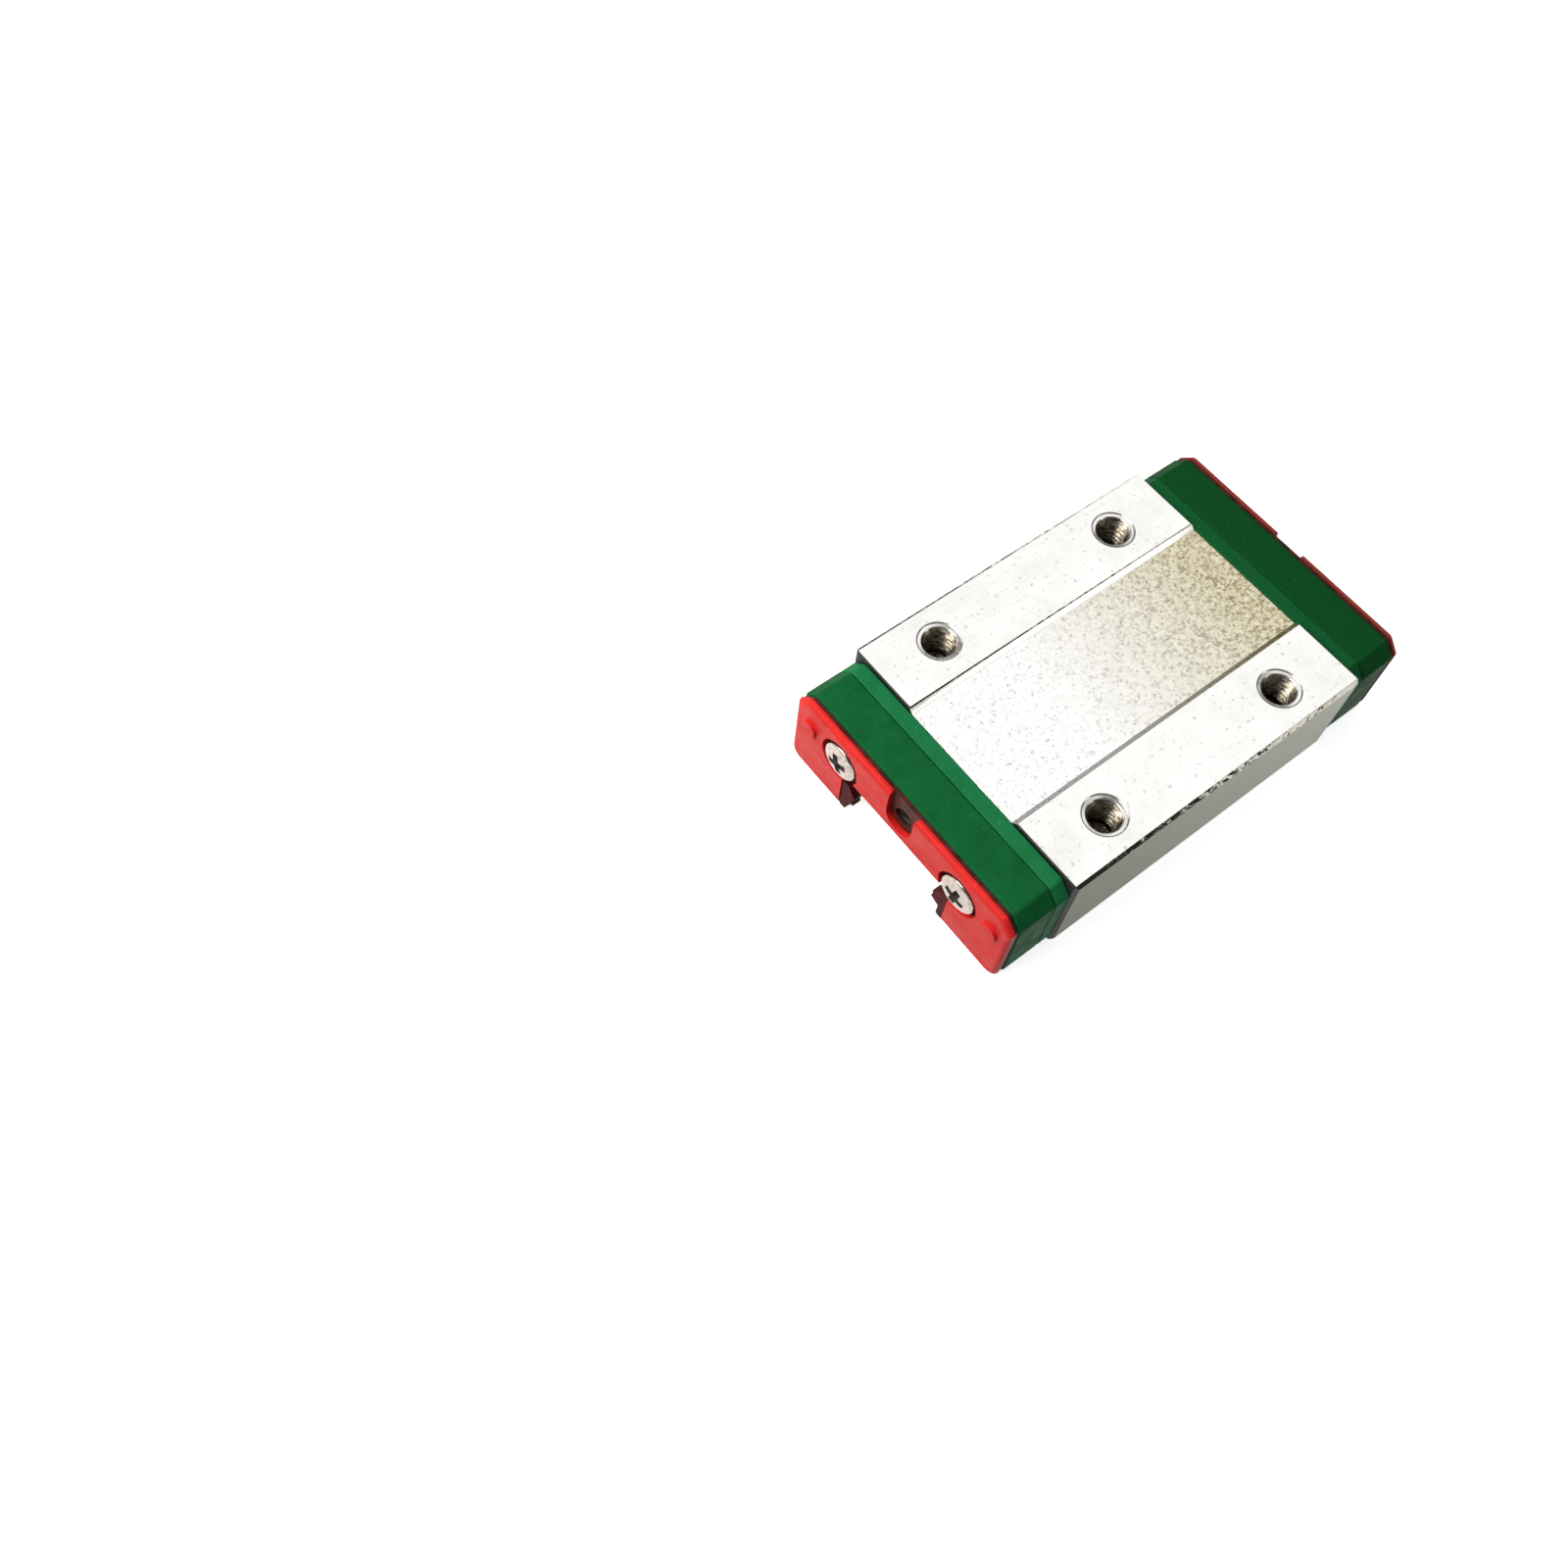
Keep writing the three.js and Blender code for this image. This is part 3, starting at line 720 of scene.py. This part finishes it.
LAND = ground_nickel()
BLAST = blasted_nickel()
MACHINED = machined_nickel()
SIDE = side_nickel()
BORE = painted_shade_bore()
WALL = polished_wall()
EDGE = worn_edge()
END_FACE = painted_shade_end()
# painted shade: each rear colour below is a darker copy of the front colour, for the light that falls off
# towards the rear
GREEN = moulded_plastic(
    "green_acetal",
    dark=(0.006, 0.098, 0.025),
    light=(0.009, 0.130, 0.036),
    rear=(0.006, 0.080, 0.017),
    roughness=0.42,
    gloss=0.012,
)
# painted light: a paler copy of the cap's green for the return plates, whose strip at the front looks
# paler because it catches more light
GREEN_PAINTED_LIGHT = moulded_plastic(
    "green_acetal_painted_light",
    dark=(0.012, 0.165, 0.050),
    light=(0.018, 0.200, 0.066),
    rear=(0.009, 0.115, 0.030),
    roughness=0.40,
    gloss=0.012,
)
RED = moulded_plastic(
    "red_moulding",
    dark=(0.64, 0.017, 0.014),
    light=(0.77, 0.027, 0.021),
    rear=(0.34, 0.040, 0.028),
    roughness=0.40,
    gloss=0.08,
)
RUBBER = lip_rubber()
SHEET = coated_sheet()
SCREW = screw_nickel()
HOLLOW_SHADE = hollow_shade_black()
BALL = polished_ball()
WIRE = drawn_wire()


# ---- Steel block ----


def block_section():
    floor = BLOCK_TOP - RECESS_DEPTH
    return rounded(
        mirrored([
            (CHANNEL_SIDE, CHANNEL_TOP, 0.3),
            (CHANNEL_SIDE, CHAMFER, 0),
            (CHANNEL_SIDE + CHAMFER, 0, 0),
            (BLOCK_SIDE - CHAMFER, 0, 0),
            (BLOCK_SIDE, CHAMFER, 0),
            (BLOCK_SIDE, BLOCK_TOP - CHAMFER, 0),
            (BLOCK_SIDE - CHAMFER, BLOCK_TOP, 0),
            (RECESS_SIDE + RECESS_LIP, BLOCK_TOP, 0),
            (RECESS_SIDE - RECESS_LIP, BLOCK_TOP - RECESS_LIP, 0),
            (RECESS_SIDE - RECESS_DEPTH, floor, 0),
        ])
    )


def gothic_race(side):
    """A pointed-arch groove: two arcs whose centres lie a little past the ball's own."""
    offset = RACE_OFFSET
    radius = RACE_RADIUS + offset
    point = math.degrees(math.asin(offset / radius))
    upper = arc(LOADED_Y, BALL_Z - offset, radius, point, 90, 16)
    lower = arc(LOADED_Y, BALL_Z + offset, radius, -90, -point, 16)[:-1]
    inner = LOADED_Y - RACE_RADIUS
    half = [*lower, *upper, (inner, BALL_Z + RACE_MOUTH), (inner, BALL_Z - RACE_MOUTH)]
    outline = [(side * y, z) for y, z in half]
    return prism("race", outline, -BLOCK_END - PAST, BLOCK_END + PAST, MACHINED)


def mount_sink(x, y):
    """A stepped countersink and the drilled bore below it."""
    tip = THREAD_DEPTH + DRILL_TIP_SLOPE * TAP_RADIUS
    profile = [
        (0, -tip),
        (TAP_RADIUS, -THREAD_DEPTH),
        (TAP_RADIUS, -SINK_DEPTH - (THREAD_RADIUS - TAP_RADIUS)),
        (THREAD_RADIUS, -SINK_DEPTH),
        (THREAD_RADIUS + 0.05, -SHELF_DEPTH - SHELF_SLOPE),
        (SHELF_RADIUS, -SHELF_DEPTH),
        (SINK_RADIUS, 0),
        (SINK_RADIUS, PAST),
        (0, PAST),
    ]
    return turned("sink", profile, (x, y, BLOCK_TOP), MACHINED)


def mount_thread(x, y):
    """The thread starts just under the countersink and stops above the bore's end."""
    top, bottom = THREAD_LEAD_IN - SINK_DEPTH, THREAD_RUN_OUT - THREAD_DEPTH
    core, crest = TAP_RADIUS + THREAD_INSET, THREAD_RADIUS - THREAD_INSET
    place = (x, y, BLOCK_TOP)
    return threaded_rod("thread", core, crest, THREAD_PITCH, bottom, top, place, BORE)


def carriage_block():
    past_end = BLOCK_END + PAST
    body = prism("block_body", block_section(), -past_end, past_end, SIDE)
    corner = BLOCK_SIDE - CHAMFER
    plan = mirrored([
        (BLOCK_END - CHAMFER - PAST, -BLOCK_SIDE - PAST),
        (BLOCK_END, -corner),
        (BLOCK_END, corner),
        (BLOCK_END - CHAMFER - PAST, BLOCK_SIDE + PAST),
    ])
    plan_body = prism("plan", plan, -PAST, BLOCK_TOP + PAST, SIDE, axis=2)
    view = mirrored([
        (BLOCK_END + PAST, -PAST),
        (BLOCK_END + PAST, BLOCK_TOP - END_CHAMFER - PAST),
        (BLOCK_END - END_CHAMFER - PAST, BLOCK_TOP + PAST),
    ])
    view_outline = [(z, x) for x, z in view]
    past_side = BLOCK_SIDE + PAST
    view_body = prism("side_view", view_outline, -past_side, past_side, SIDE, axis=1)
    combine(body, [plan_body, view_body], "INTERSECT")
    cutters = []
    for _, side in SIDES:
        cutters.append(gothic_race(side))
        y = side * RETURN_Y
        cutters.append(bar("return_bore", RACE_RADIUS, -past_end, past_end, y, BALL_Z, MACHINED))
        for _, end in ENDS:
            cutters.append(mount_sink(end * MOUNT_XY, side * MOUNT_XY))
    combine(body, cutters)
    soften(body, 0.05)
    threads = [mount_thread(end * MOUNT_XY, side * MOUNT_XY) for _, end in ENDS for _, side in SIDES]
    combine(body, threads)
    dress_block(body)
    return finish_piece(body, "carriage", ["carriage_block"])


def dress_block(body):
    """Gives each face of the block the finish of the place where it lies."""
    mesh = body.data
    slots = {material.name: index for index, material in enumerate(mesh.materials) if material}
    for material in (LAND, BLAST, WALL, EDGE, SIDE, END_FACE, BORE):
        if material.name not in slots:
            mesh.materials.append(material)
            slots[material.name] = len(mesh.materials) - 1
    for face in mesh.polygons:
        if face.material_index == slots[BORE.name]:
            continue
        if face.material_index == slots[MACHINED.name]:
            height = face.center.z
            if height < BLOCK_TOP - SINK_DEPTH and abs(height - BALL_Z) > 2 * RACE_RADIUS:
                face.material_index = slots[BORE.name]
            continue
        face.material_index = slots[block_finish(face.center, face.normal).name]


def block_finish(place, normal):
    floor = BLOCK_TOP - RECESS_DEPTH
    if normal.z > LEVEL and abs(place.z - BLOCK_TOP) < ON_FACE:
        return LAND
    if normal.z > LEVEL and abs(place.z - floor) < ON_FACE:
        return BLAST
    if abs(normal.x) > 0.5:
        # painted shade: the front end chamfers and the other end faces take the near-black end finish
        return LAND if place.x > 0 and normal.z > 0.1 else END_FACE
    if abs(place.y) < RECESS_SIDE + 2 * RECESS_LIP and place.z > floor - 0.1:
        on_lip = place.z > BLOCK_TOP - RECESS_LIP - 0.03
        if place.y < 0:
            return BLAST
        return EDGE if on_lip else WALL
    beyond_land = abs(place.y) > BLOCK_SIDE - CHAMFER and place.z > BLOCK_TOP - CHAMFER
    if beyond_land and normal.z > 0.2:
        return EDGE
    return SIDE


# ---- End pieces, drawn at the rear and turned for the front ----


def end_outline(opening_side, opening_top, inset=0.0):
    side, top, base = CAP_SIDE - inset, CAP_TOP - inset, CAP_BASE + inset
    return rounded(
        mirrored([
            (opening_side, opening_top, 0.25),
            (opening_side, base, 0),
            (side, base, BASE_CORNER),
            (side, top - TOP_CORNER, 0.5),
            (side - TOP_CORNER, top, 0.5),
        ])
    )


def screw_bores(start, end):
    return [bar("screw_bore", SCREW_BORE, start, end, side * SCREW_Y, SCREW_Z) for _, side in SIDES]


def return_plate(end_name, end):
    outline = end_outline(OPENING_SIDE, OPENING_TOP)
    plate = prism(f"return_plate_{end_name}_body", outline, PLATE_START, PLATE_END, GREEN_PAINTED_LIGHT)
    soften(plate, 0.1, segments=3)
    start, stop = PLATE_START - PAST, PLATE_END + PAST
    cutters = screw_bores(start, stop)
    for _, side in SIDES:
        for y in (LOADED_Y, RETURN_Y):
            cutters.append(bar("race", RACE_RADIUS, start, stop, side * y, BALL_Z))
    combine(plate, cutters)
    combine(plate, [half_moon(side) for _, side in SIDES], "UNION")
    if end < 0:
        turn_end_for_end(plate)
    return finish_piece(plate, "carriage", [f"return_plate_{end_name}"])


def turn_disc(name, side, radius, half_height):
    profile = [(0, -half_height), (radius, -half_height), (radius, half_height), (0, half_height)]
    return turned(name, profile, (TURN_X, side * TURN_Y, BALL_Z), GREEN_PAINTED_LIGHT)


def half_moon(side):
    disc = turn_disc("half_moon", side, GUIDE_RADIUS, GUIDE_HALF_HEIGHT)
    x_span = (TURN_X - 2 * RACE_RADIUS, PLATE_END - PLATE_SINK)
    away = block_of("away", x_span, (-BLOCK_SIDE, BLOCK_SIDE), (0, BLOCK_TOP))
    centre = (TURN_X, side * TURN_Y, BALL_Z)
    race = ring_tube("race", centre, TURN_RADIUS, RACE_RADIUS + GUIDE_EASE)
    return combine(disc, [away, race])


def wire_slot(side):
    inner, outer = side * WIRE_Y, side * (WIRE_Y + WIRE_HOOK + 2 * WIRE_RADIUS)
    half = WIRE_RADIUS + WIRE_GAP
    x_span = (WIRE_END - half, CAP_END + PAST)
    y_span = (min(inner, outer), max(inner, outer))
    return block_of("wire_slot", x_span, y_span, (BALL_Z - half, BALL_Z + half))


def end_cap(end_name, end):
    outline = end_outline(OPENING_SIDE, OPENING_TOP)
    cap = prism(f"end_cap_{end_name}_body", outline, CAP_START, CAP_END, GREEN)
    soften(cap, 0.15, segments=3)
    tongues = []
    start, stop = CAP_START + 0.01, CAP_END - TONGUE_STOP
    for _, side in SIDES:
        y = side * LOADED_Y
        tongues.append(bar("tongue", TONGUE_RADIUS, start, stop, y, BALL_Z, GREEN))
    combine(cap, tongues, "UNION")
    cutters = screw_bores(CAP_START - PAST, CAP_END + PAST)
    cutters.append(lube_port())
    for _, side in SIDES:
        centre = (TURN_X, side * TURN_Y, BALL_Z)
        cutters.append(ring_tube("race", centre, TURN_RADIUS, RACE_RADIUS))
        pocket = (GUIDE_RADIUS + GUIDE_GAP, GUIDE_HALF_HEIGHT + GUIDE_GAP)
        cutters.append(turn_disc("guide_pocket", side, *pocket))
        cutters.append(wire_slot(side))
    combine(cap, cutters)
    if end < 0:
        turn_end_for_end(cap)
    return finish_piece(cap, "carriage", [f"end_cap_{end_name}"])


def lube_port():
    """The grease port, chamfered at its mouth and narrowed at its end."""
    bore = LUBE_RADIUS - 0.08
    mouth = LUBE_RADIUS + 0.1
    profile = [
        (0, -LUBE_DEPTH),
        (LUBE_TIP_RADIUS, -LUBE_DEPTH),
        (LUBE_TIP_RADIUS, -2.2),
        (bore, -1.9),
        (bore, -0.2),
        (mouth, 0.02),
        (mouth, PAST),
        (0, PAST),
    ]
    return turned("lube_port", profile, (CAP_END, 0, LUBE_Z), HOLLOW_SHADE, along_x=True)


def ear_points():
    """The ears that fill the rail's ball grooves, each with a slot in line with the wire."""
    return [
        (RAIL_SIDE, EAR_TOP, 0.1),
        (EAR_TOOTH_Y, BALL_Z + EAR_TOOTH, 0.1),
        (EAR_TOOTH_Y, BALL_Z + EAR_SLOT, 0.06),
        (EAR_SLOT_Y, BALL_Z, 0.06),
        (EAR_TOOTH_Y, BALL_Z - EAR_SLOT, 0.06),
        (EAR_TOOTH_Y, BALL_Z - EAR_TOOTH, 0.1),
        (RAIL_SIDE, EAR_BASE, 0.1),
    ]


def wiper(end_name, end):
    """A rubber-coated sheet behind the seal, with a lip that stands forward on each side of the rail."""
    start, stop = WIPER_START - PAST, SHEET_END + PAST
    outline = end_outline(SEAL_OPENING_SIDE, SEAL_OPENING_TOP - 1, SHEET_EDGE)
    sheet = prism(f"wiper_{end_name}_body", outline, WIPER_START, SHEET_END, SHEET)
    base = CAP_BASE + SHEET_EDGE
    x_span, y_span = (WIPER_START, SHEET_END), (-EAR_SHEET_SIDE, EAR_SHEET_SIDE)
    ears = [block_of("ear", x_span, y_span, (base, EAR_SHEET_TOP), SHEET)]
    combine(sheet, ears, "UNION")
    rail = mirrored([
        (RAIL_SIDE - RAIL_CHAMFER, RAIL_TOP, 0.1),
        (RAIL_SIDE, RAIL_TOP - RAIL_CHAMFER, 0.1),
        *ear_points(),
        (RAIL_SIDE, CAP_BASE - PAST, 0),
    ])
    rail_way = prism("rail", rounded(rail), start, stop)
    port = bar("port", LUBE_RADIUS, start, stop, 0, LUBE_Z)
    combine(sheet, [rail_way, port, *screw_bores(start, stop)])
    lips = []
    for _, side in SIDES:
        corners = [(LIP_SIDE, EAR_TOP, 0.1), *ear_points(), (RAIL_SIDE, base, 0), (LIP_SIDE, base, 0)]
        outline = [(side * y, z) for y, z in rounded(corners)]
        lips.append(prism("lip", outline, WIPER_START, LIP_END, RUBBER))
    combine(sheet, lips, "UNION")
    soften(sheet, 0.04)
    if end < 0:
        turn_end_for_end(sheet)
    return finish_piece(sheet, "carriage", [f"wiper_{end_name}"])


def domed_plate(name, start, end, edge, round_off, material):
    """The seal's body: its outer edge is rounded over in steps."""
    steps = ARC_STEPS
    outlines = []
    places = [start]
    insets = [edge]
    for step in range(steps + 1):
        turn = math.pi / 2 * step / steps
        places.append(end - round_off * (1 - math.sin(turn)))
        insets.append(edge + round_off * (1 - math.cos(turn)))
    for inset in insets:
        side, top, base = CAP_SIDE - inset, CAP_TOP - inset, CAP_BASE + inset
        outlines.append(rounded([
            (side, base, BASE_CORNER),
            (side, top - TOP_CORNER, 0.4),
            (side - TOP_CORNER, top, 0.4),
            (TOP_CORNER - side, top, 0.4),
            (-side, top - TOP_CORNER, 0.4),
            (-side, base, BASE_CORNER),
        ]))
    count = len(outlines[0])
    vertices = [(x, u, v) for x, outline in zip(places, outlines) for u, v in outline]
    faces = [tuple(range(count)), tuple(range(len(vertices) - count, len(vertices)))]
    for ring in range(len(places) - 1):
        low = ring * count
        for i in range(count):
            ahead = (i + 1) % count
            faces.append((low + i, low + ahead, low + count + ahead, low + count + i))
    return mesh_object(name, vertices, faces, material)


def end_seal(end_name, end):
    name = f"end_seal_{end_name}_body"
    plate = domed_plate(name, SEAL_START, SEAL_END, SEAL_EDGE, SEAL_ROUND, RED)
    start, stop = SEAL_START - PAST, SEAL_END + PAST
    way = rounded(mirrored([(SEAL_OPENING_SIDE, SEAL_OPENING_TOP, 0.3), (SEAL_OPENING_SIDE, -PAST, 0)]))
    top = CAP_TOP - SEAL_EDGE
    mouth = arc(NOTCH_RADIUS + NOTCH_MOUTH, top - NOTCH_MOUTH, NOTCH_MOUTH, 180, 90, 6)
    mouth.append((NOTCH_RADIUS + NOTCH_MOUTH, top + PAST))
    notch = [*arc(0, LUBE_Z, NOTCH_RADIUS, 180, 360, 24), *mouth, *[(-u, v) for u, v in reversed(mouth)]]
    cutters = [prism("way", way, start, stop), prism("notch", notch, start, stop)]
    for _, side in SIDES:
        cutters.append(bar("head_hole", HEAD_HOLE_RADIUS, start, stop, side * SCREW_Y, SCREW_Z))
    combine(plate, cutters)
    studs = []
    for _, side in SIDES:
        base = SEAL_START + STUD_SINK
        studs.append(bar("stud", STUD_RADIUS, base, STUD_END, side * STUD_Y, STUD_Z, RED))
    combine(plate, studs, "UNION")
    soften(plate, 0.06, angle=40)
    if end < 0:
        turn_end_for_end(plate)
    return finish_piece(plate, "carriage", [f"end_seal_{end_name}"])


# ---- Screws, wires and balls ----


def cross_outline(half_span, half_width):
    """Four arms, each drawn from the first by a quarter turn."""
    outline = []
    arm = [(half_span, -half_width), (half_span, half_width), (half_width, half_width)]
    for _ in range(4):
        outline += arm
        arm = [(-v, u) for u, v in arm]
    return outline


def cross_recess(depth):
    """A cross recess that narrows towards its bottom."""
    bottom = [(-depth, u, v) for u, v in cross_outline(CROSS_TIP_SPAN, CROSS_TIP_WIDTH)]
    mouth = [(CROSS_RISE, u, v) for u, v in cross_outline(CROSS_SPAN, CROSS_WIDTH)]
    count = len(bottom)
    sides = [(i, (i + 1) % count, count + (i + 1) % count, count + i) for i in range(count)]
    faces = [*sides, tuple(range(count)), tuple(range(count, 2 * count))]
    return mesh_object("recess", bottom + mouth, faces, HOLLOW_SHADE)


def end_screw(end_name, end, side_name, side):
    height = HEAD_END - HEAD_SEAT
    rim = 0.5 * height
    crown = arc(0, rim, 1, 5, 85, 12)
    crown = [(radius * HEAD_FACE, rim + (level - rim) * (height - rim)) for radius, level in crown]
    profile = [(0, 0), (HEAD_FACE - 0.3, 0), (HEAD_FACE - 0.05, 0.22), (HEAD_FACE, 0.3), (HEAD_FACE, rim)]
    profile += [*crown, (0, height)]
    node = f"end_screw_{end_name}_{side_name}"
    body = turned(f"{node}_body", profile, (0, 0, 0), SCREW, along_x=True)
    recess = cross_recess(CROSS_DEPTH)
    recess.data.transform(Matrix.Translation((height, 0, 0)))
    combine(body, [recess])
    soften(body, 0.03, angle=40)
    length = HEAD_SEAT - SCREW_TIP
    thread = (SHANK_CORE, SHANK_CREST, SHANK_PITCH, -length, 0.1)
    shank = threaded_rod("shank", *thread, (0, 0, 0), SCREW, sides=32, along_x=True)
    combine(body, [shank], "UNION")
    body.data.transform(Matrix.Rotation(SCREW_SPINS[side_name], 4, "X"))
    body.data.transform(Matrix.Translation((HEAD_SEAT, end * side * SCREW_Y, SCREW_Z)))
    if end < 0:
        turn_end_for_end(body)
    return finish_piece(body, "carriage", [node])


def retaining_wire(side_name, side):
    bend = WIRE_BEND
    hook_end = WIRE_Y + WIRE_HOOK
    path = [Vector((-WIRE_END, side * hook_end, BALL_Z))]
    for step in range(WIRE_BEND_STEPS + 1):
        turn = math.radians(90 * step / WIRE_BEND_STEPS)
        x = -WIRE_END + bend * (1 - math.cos(turn))
        path.append(Vector((x, side * (WIRE_Y + bend * (1 - math.sin(turn))), BALL_Z)))
    path += [Vector((-p.x, p.y, p.z)) for p in reversed(path)]
    node = f"retaining_wire_{side_name}"
    body = tube(f"{node}_body", path, WIRE_RADIUS, WIRE)
    return finish_piece(body, "carriage", [node], smooth_angle=60)


def balls(name, places):
    """Fine balls at places in the row frame, in one piece."""
    built = bmesh.new()
    for x, y in places:
        where = Matrix.Translation((x, y, BALL_Z))
        bmesh.ops.create_icosphere(built, subdivisions=4, radius=BALL_RADIUS, matrix=where)
    mesh = bpy.data.meshes.new(name)
    built.to_mesh(mesh)
    built.free()
    mesh.materials.append(BALL)
    made = bpy.data.objects.new(name, mesh)
    bpy.context.scene.collection.objects.link(made)
    return made


def ball_circuit(side_name, side):
    rows = [FIRST_BALL_X + BALL_PITCH * index for index in range(ROW_BALLS)]
    for index, x in enumerate(rows):
        node = f"ball_{side_name}_{index + 1:02d}"
        made = balls(f"{node}_fine", [(x, side * LOADED_Y)])
        finish_piece(made, f"loaded_row_{side_name}", [node], smooth_angle=180)
    node = f"return_balls_{side_name}"
    made = balls(f"{node}_fine", [(x, side * RETURN_Y) for x in rows])
    finish_piece(made, f"return_row_{side_name}", [node], smooth_angle=180)
    step = BALL_PITCH / TURN_RADIUS
    for end_name, end in ENDS:
        places = []
        for angle in (-step, 0, step):
            x = TURN_X + TURN_RADIUS * math.cos(angle)
            y = TURN_Y + TURN_RADIUS * math.sin(angle)
            places.append((end * x, side * y))
        node = f"turn_balls_{end_name}_{side_name}"
        made = balls(f"{node}_fine", places)
        finish_piece(made, f"turn_{end_name}_{side_name}", [node], smooth_angle=180)


carriage_block()
for end_name, end in ENDS:
    return_plate(end_name, end)
    end_cap(end_name, end)
    wiper(end_name, end)
    end_seal(end_name, end)
    for side_name, side in SIDES:
        end_screw(end_name, end, side_name, side)
for side_name, side in SIDES:
    retaining_wire(side_name, side)
    ball_circuit(side_name, side)


# ---- Floor, light and camera ----


def floor():
    size = 3000.0
    corners = [(-size, -size, 0), (size, -size, 0), (size, size, 0), (-size, size, 0)]
    made = mesh_object("floor", corners, [(0, 1, 2, 3)])
    made.data.transform(Matrix.Scale(MM, 4))
    look = Shader("pale_floor", roughness=0.7)
    cloud = look.noise(0.02, detail=3)
    look.colour(look.ramp(cloud, (0.3, (0.86, 0.86, 0.86)), (0.7, (0.9, 0.9, 0.9))))
    look.bump((look.noise(0.5), 0.01))
    look.surface.inputs["Emission Color"].default_value = (1, 1, 1, 1)
    look.surface.inputs["Emission Strength"].default_value = 0.8
    made.data.materials.append(look.material)
    made.visible_diffuse = False


def softbox(name, direction, distance, size, power):
    """A square lamp that looks at the carriage from a direction."""
    lamp = bpy.data.lights.new(name, "AREA")
    lamp.shape = "SQUARE"
    lamp.size = size * MM
    lamp.energy = power
    made = bpy.data.objects.new(name, lamp)
    made.location = Vector(direction).normalized() * distance * MM
    made.rotation_euler = Vector(direction).to_track_quat("Z", "Y").to_euler()
    bpy.context.scene.collection.objects.link(made)


def surroundings(strength):
    """A dim, even room of one cool white, which fills in what the lamps leave dark."""
    world = bpy.data.worlds.new("room")
    bpy.context.scene.world = world
    world.use_nodes = True
    back = world.node_tree.nodes["Background"]
    back.inputs["Color"].default_value = (0.95, 0.97, 1.0, 1)
    back.inputs["Strength"].default_value = strength


def camera(place, aim, roll, focal_length):
    """A camera at a place, which looks at an aim and is rolled about its line of sight, in degrees."""
    lens = bpy.data.cameras.new("camera")
    lens.lens = focal_length
    lens.sensor_width = 36.0
    lens.clip_start = 0.001
    made = bpy.data.objects.new("camera", lens)
    facing = (aim - place).to_track_quat("-Z", "Y").to_matrix().to_4x4()
    roll_turn = Matrix.Rotation(math.radians(roll), 4, "Z")
    made.matrix_world = Matrix.Translation(place * MM) @ facing @ roll_turn
    bpy.context.scene.collection.objects.link(made)
    bpy.context.scene.camera = made


floor()
softbox("key", direction=(-0.75, 0.35, 0.7), distance=170, size=106, power=0.28)
softbox("overhead", direction=(0.47, 0.22, 0.83), distance=600, size=540, power=0.94)
softbox("right_strip", direction=(0.5, -0.83, 0.27), distance=400, size=140, power=0.1)
softbox("left_strip", direction=(-0.475, 0.829, 0.3), distance=400, size=140, power=0.1)
surroundings(strength=0.15)
camera(
    place=Vector((-69.15, -35.19, 115.95)),
    aim=Vector((-26.74, 8.91, 5.0)),
    roll=6.98,
    focal_length=35.68,
)
bpy.context.scene.view_settings.view_transform = "Standard"
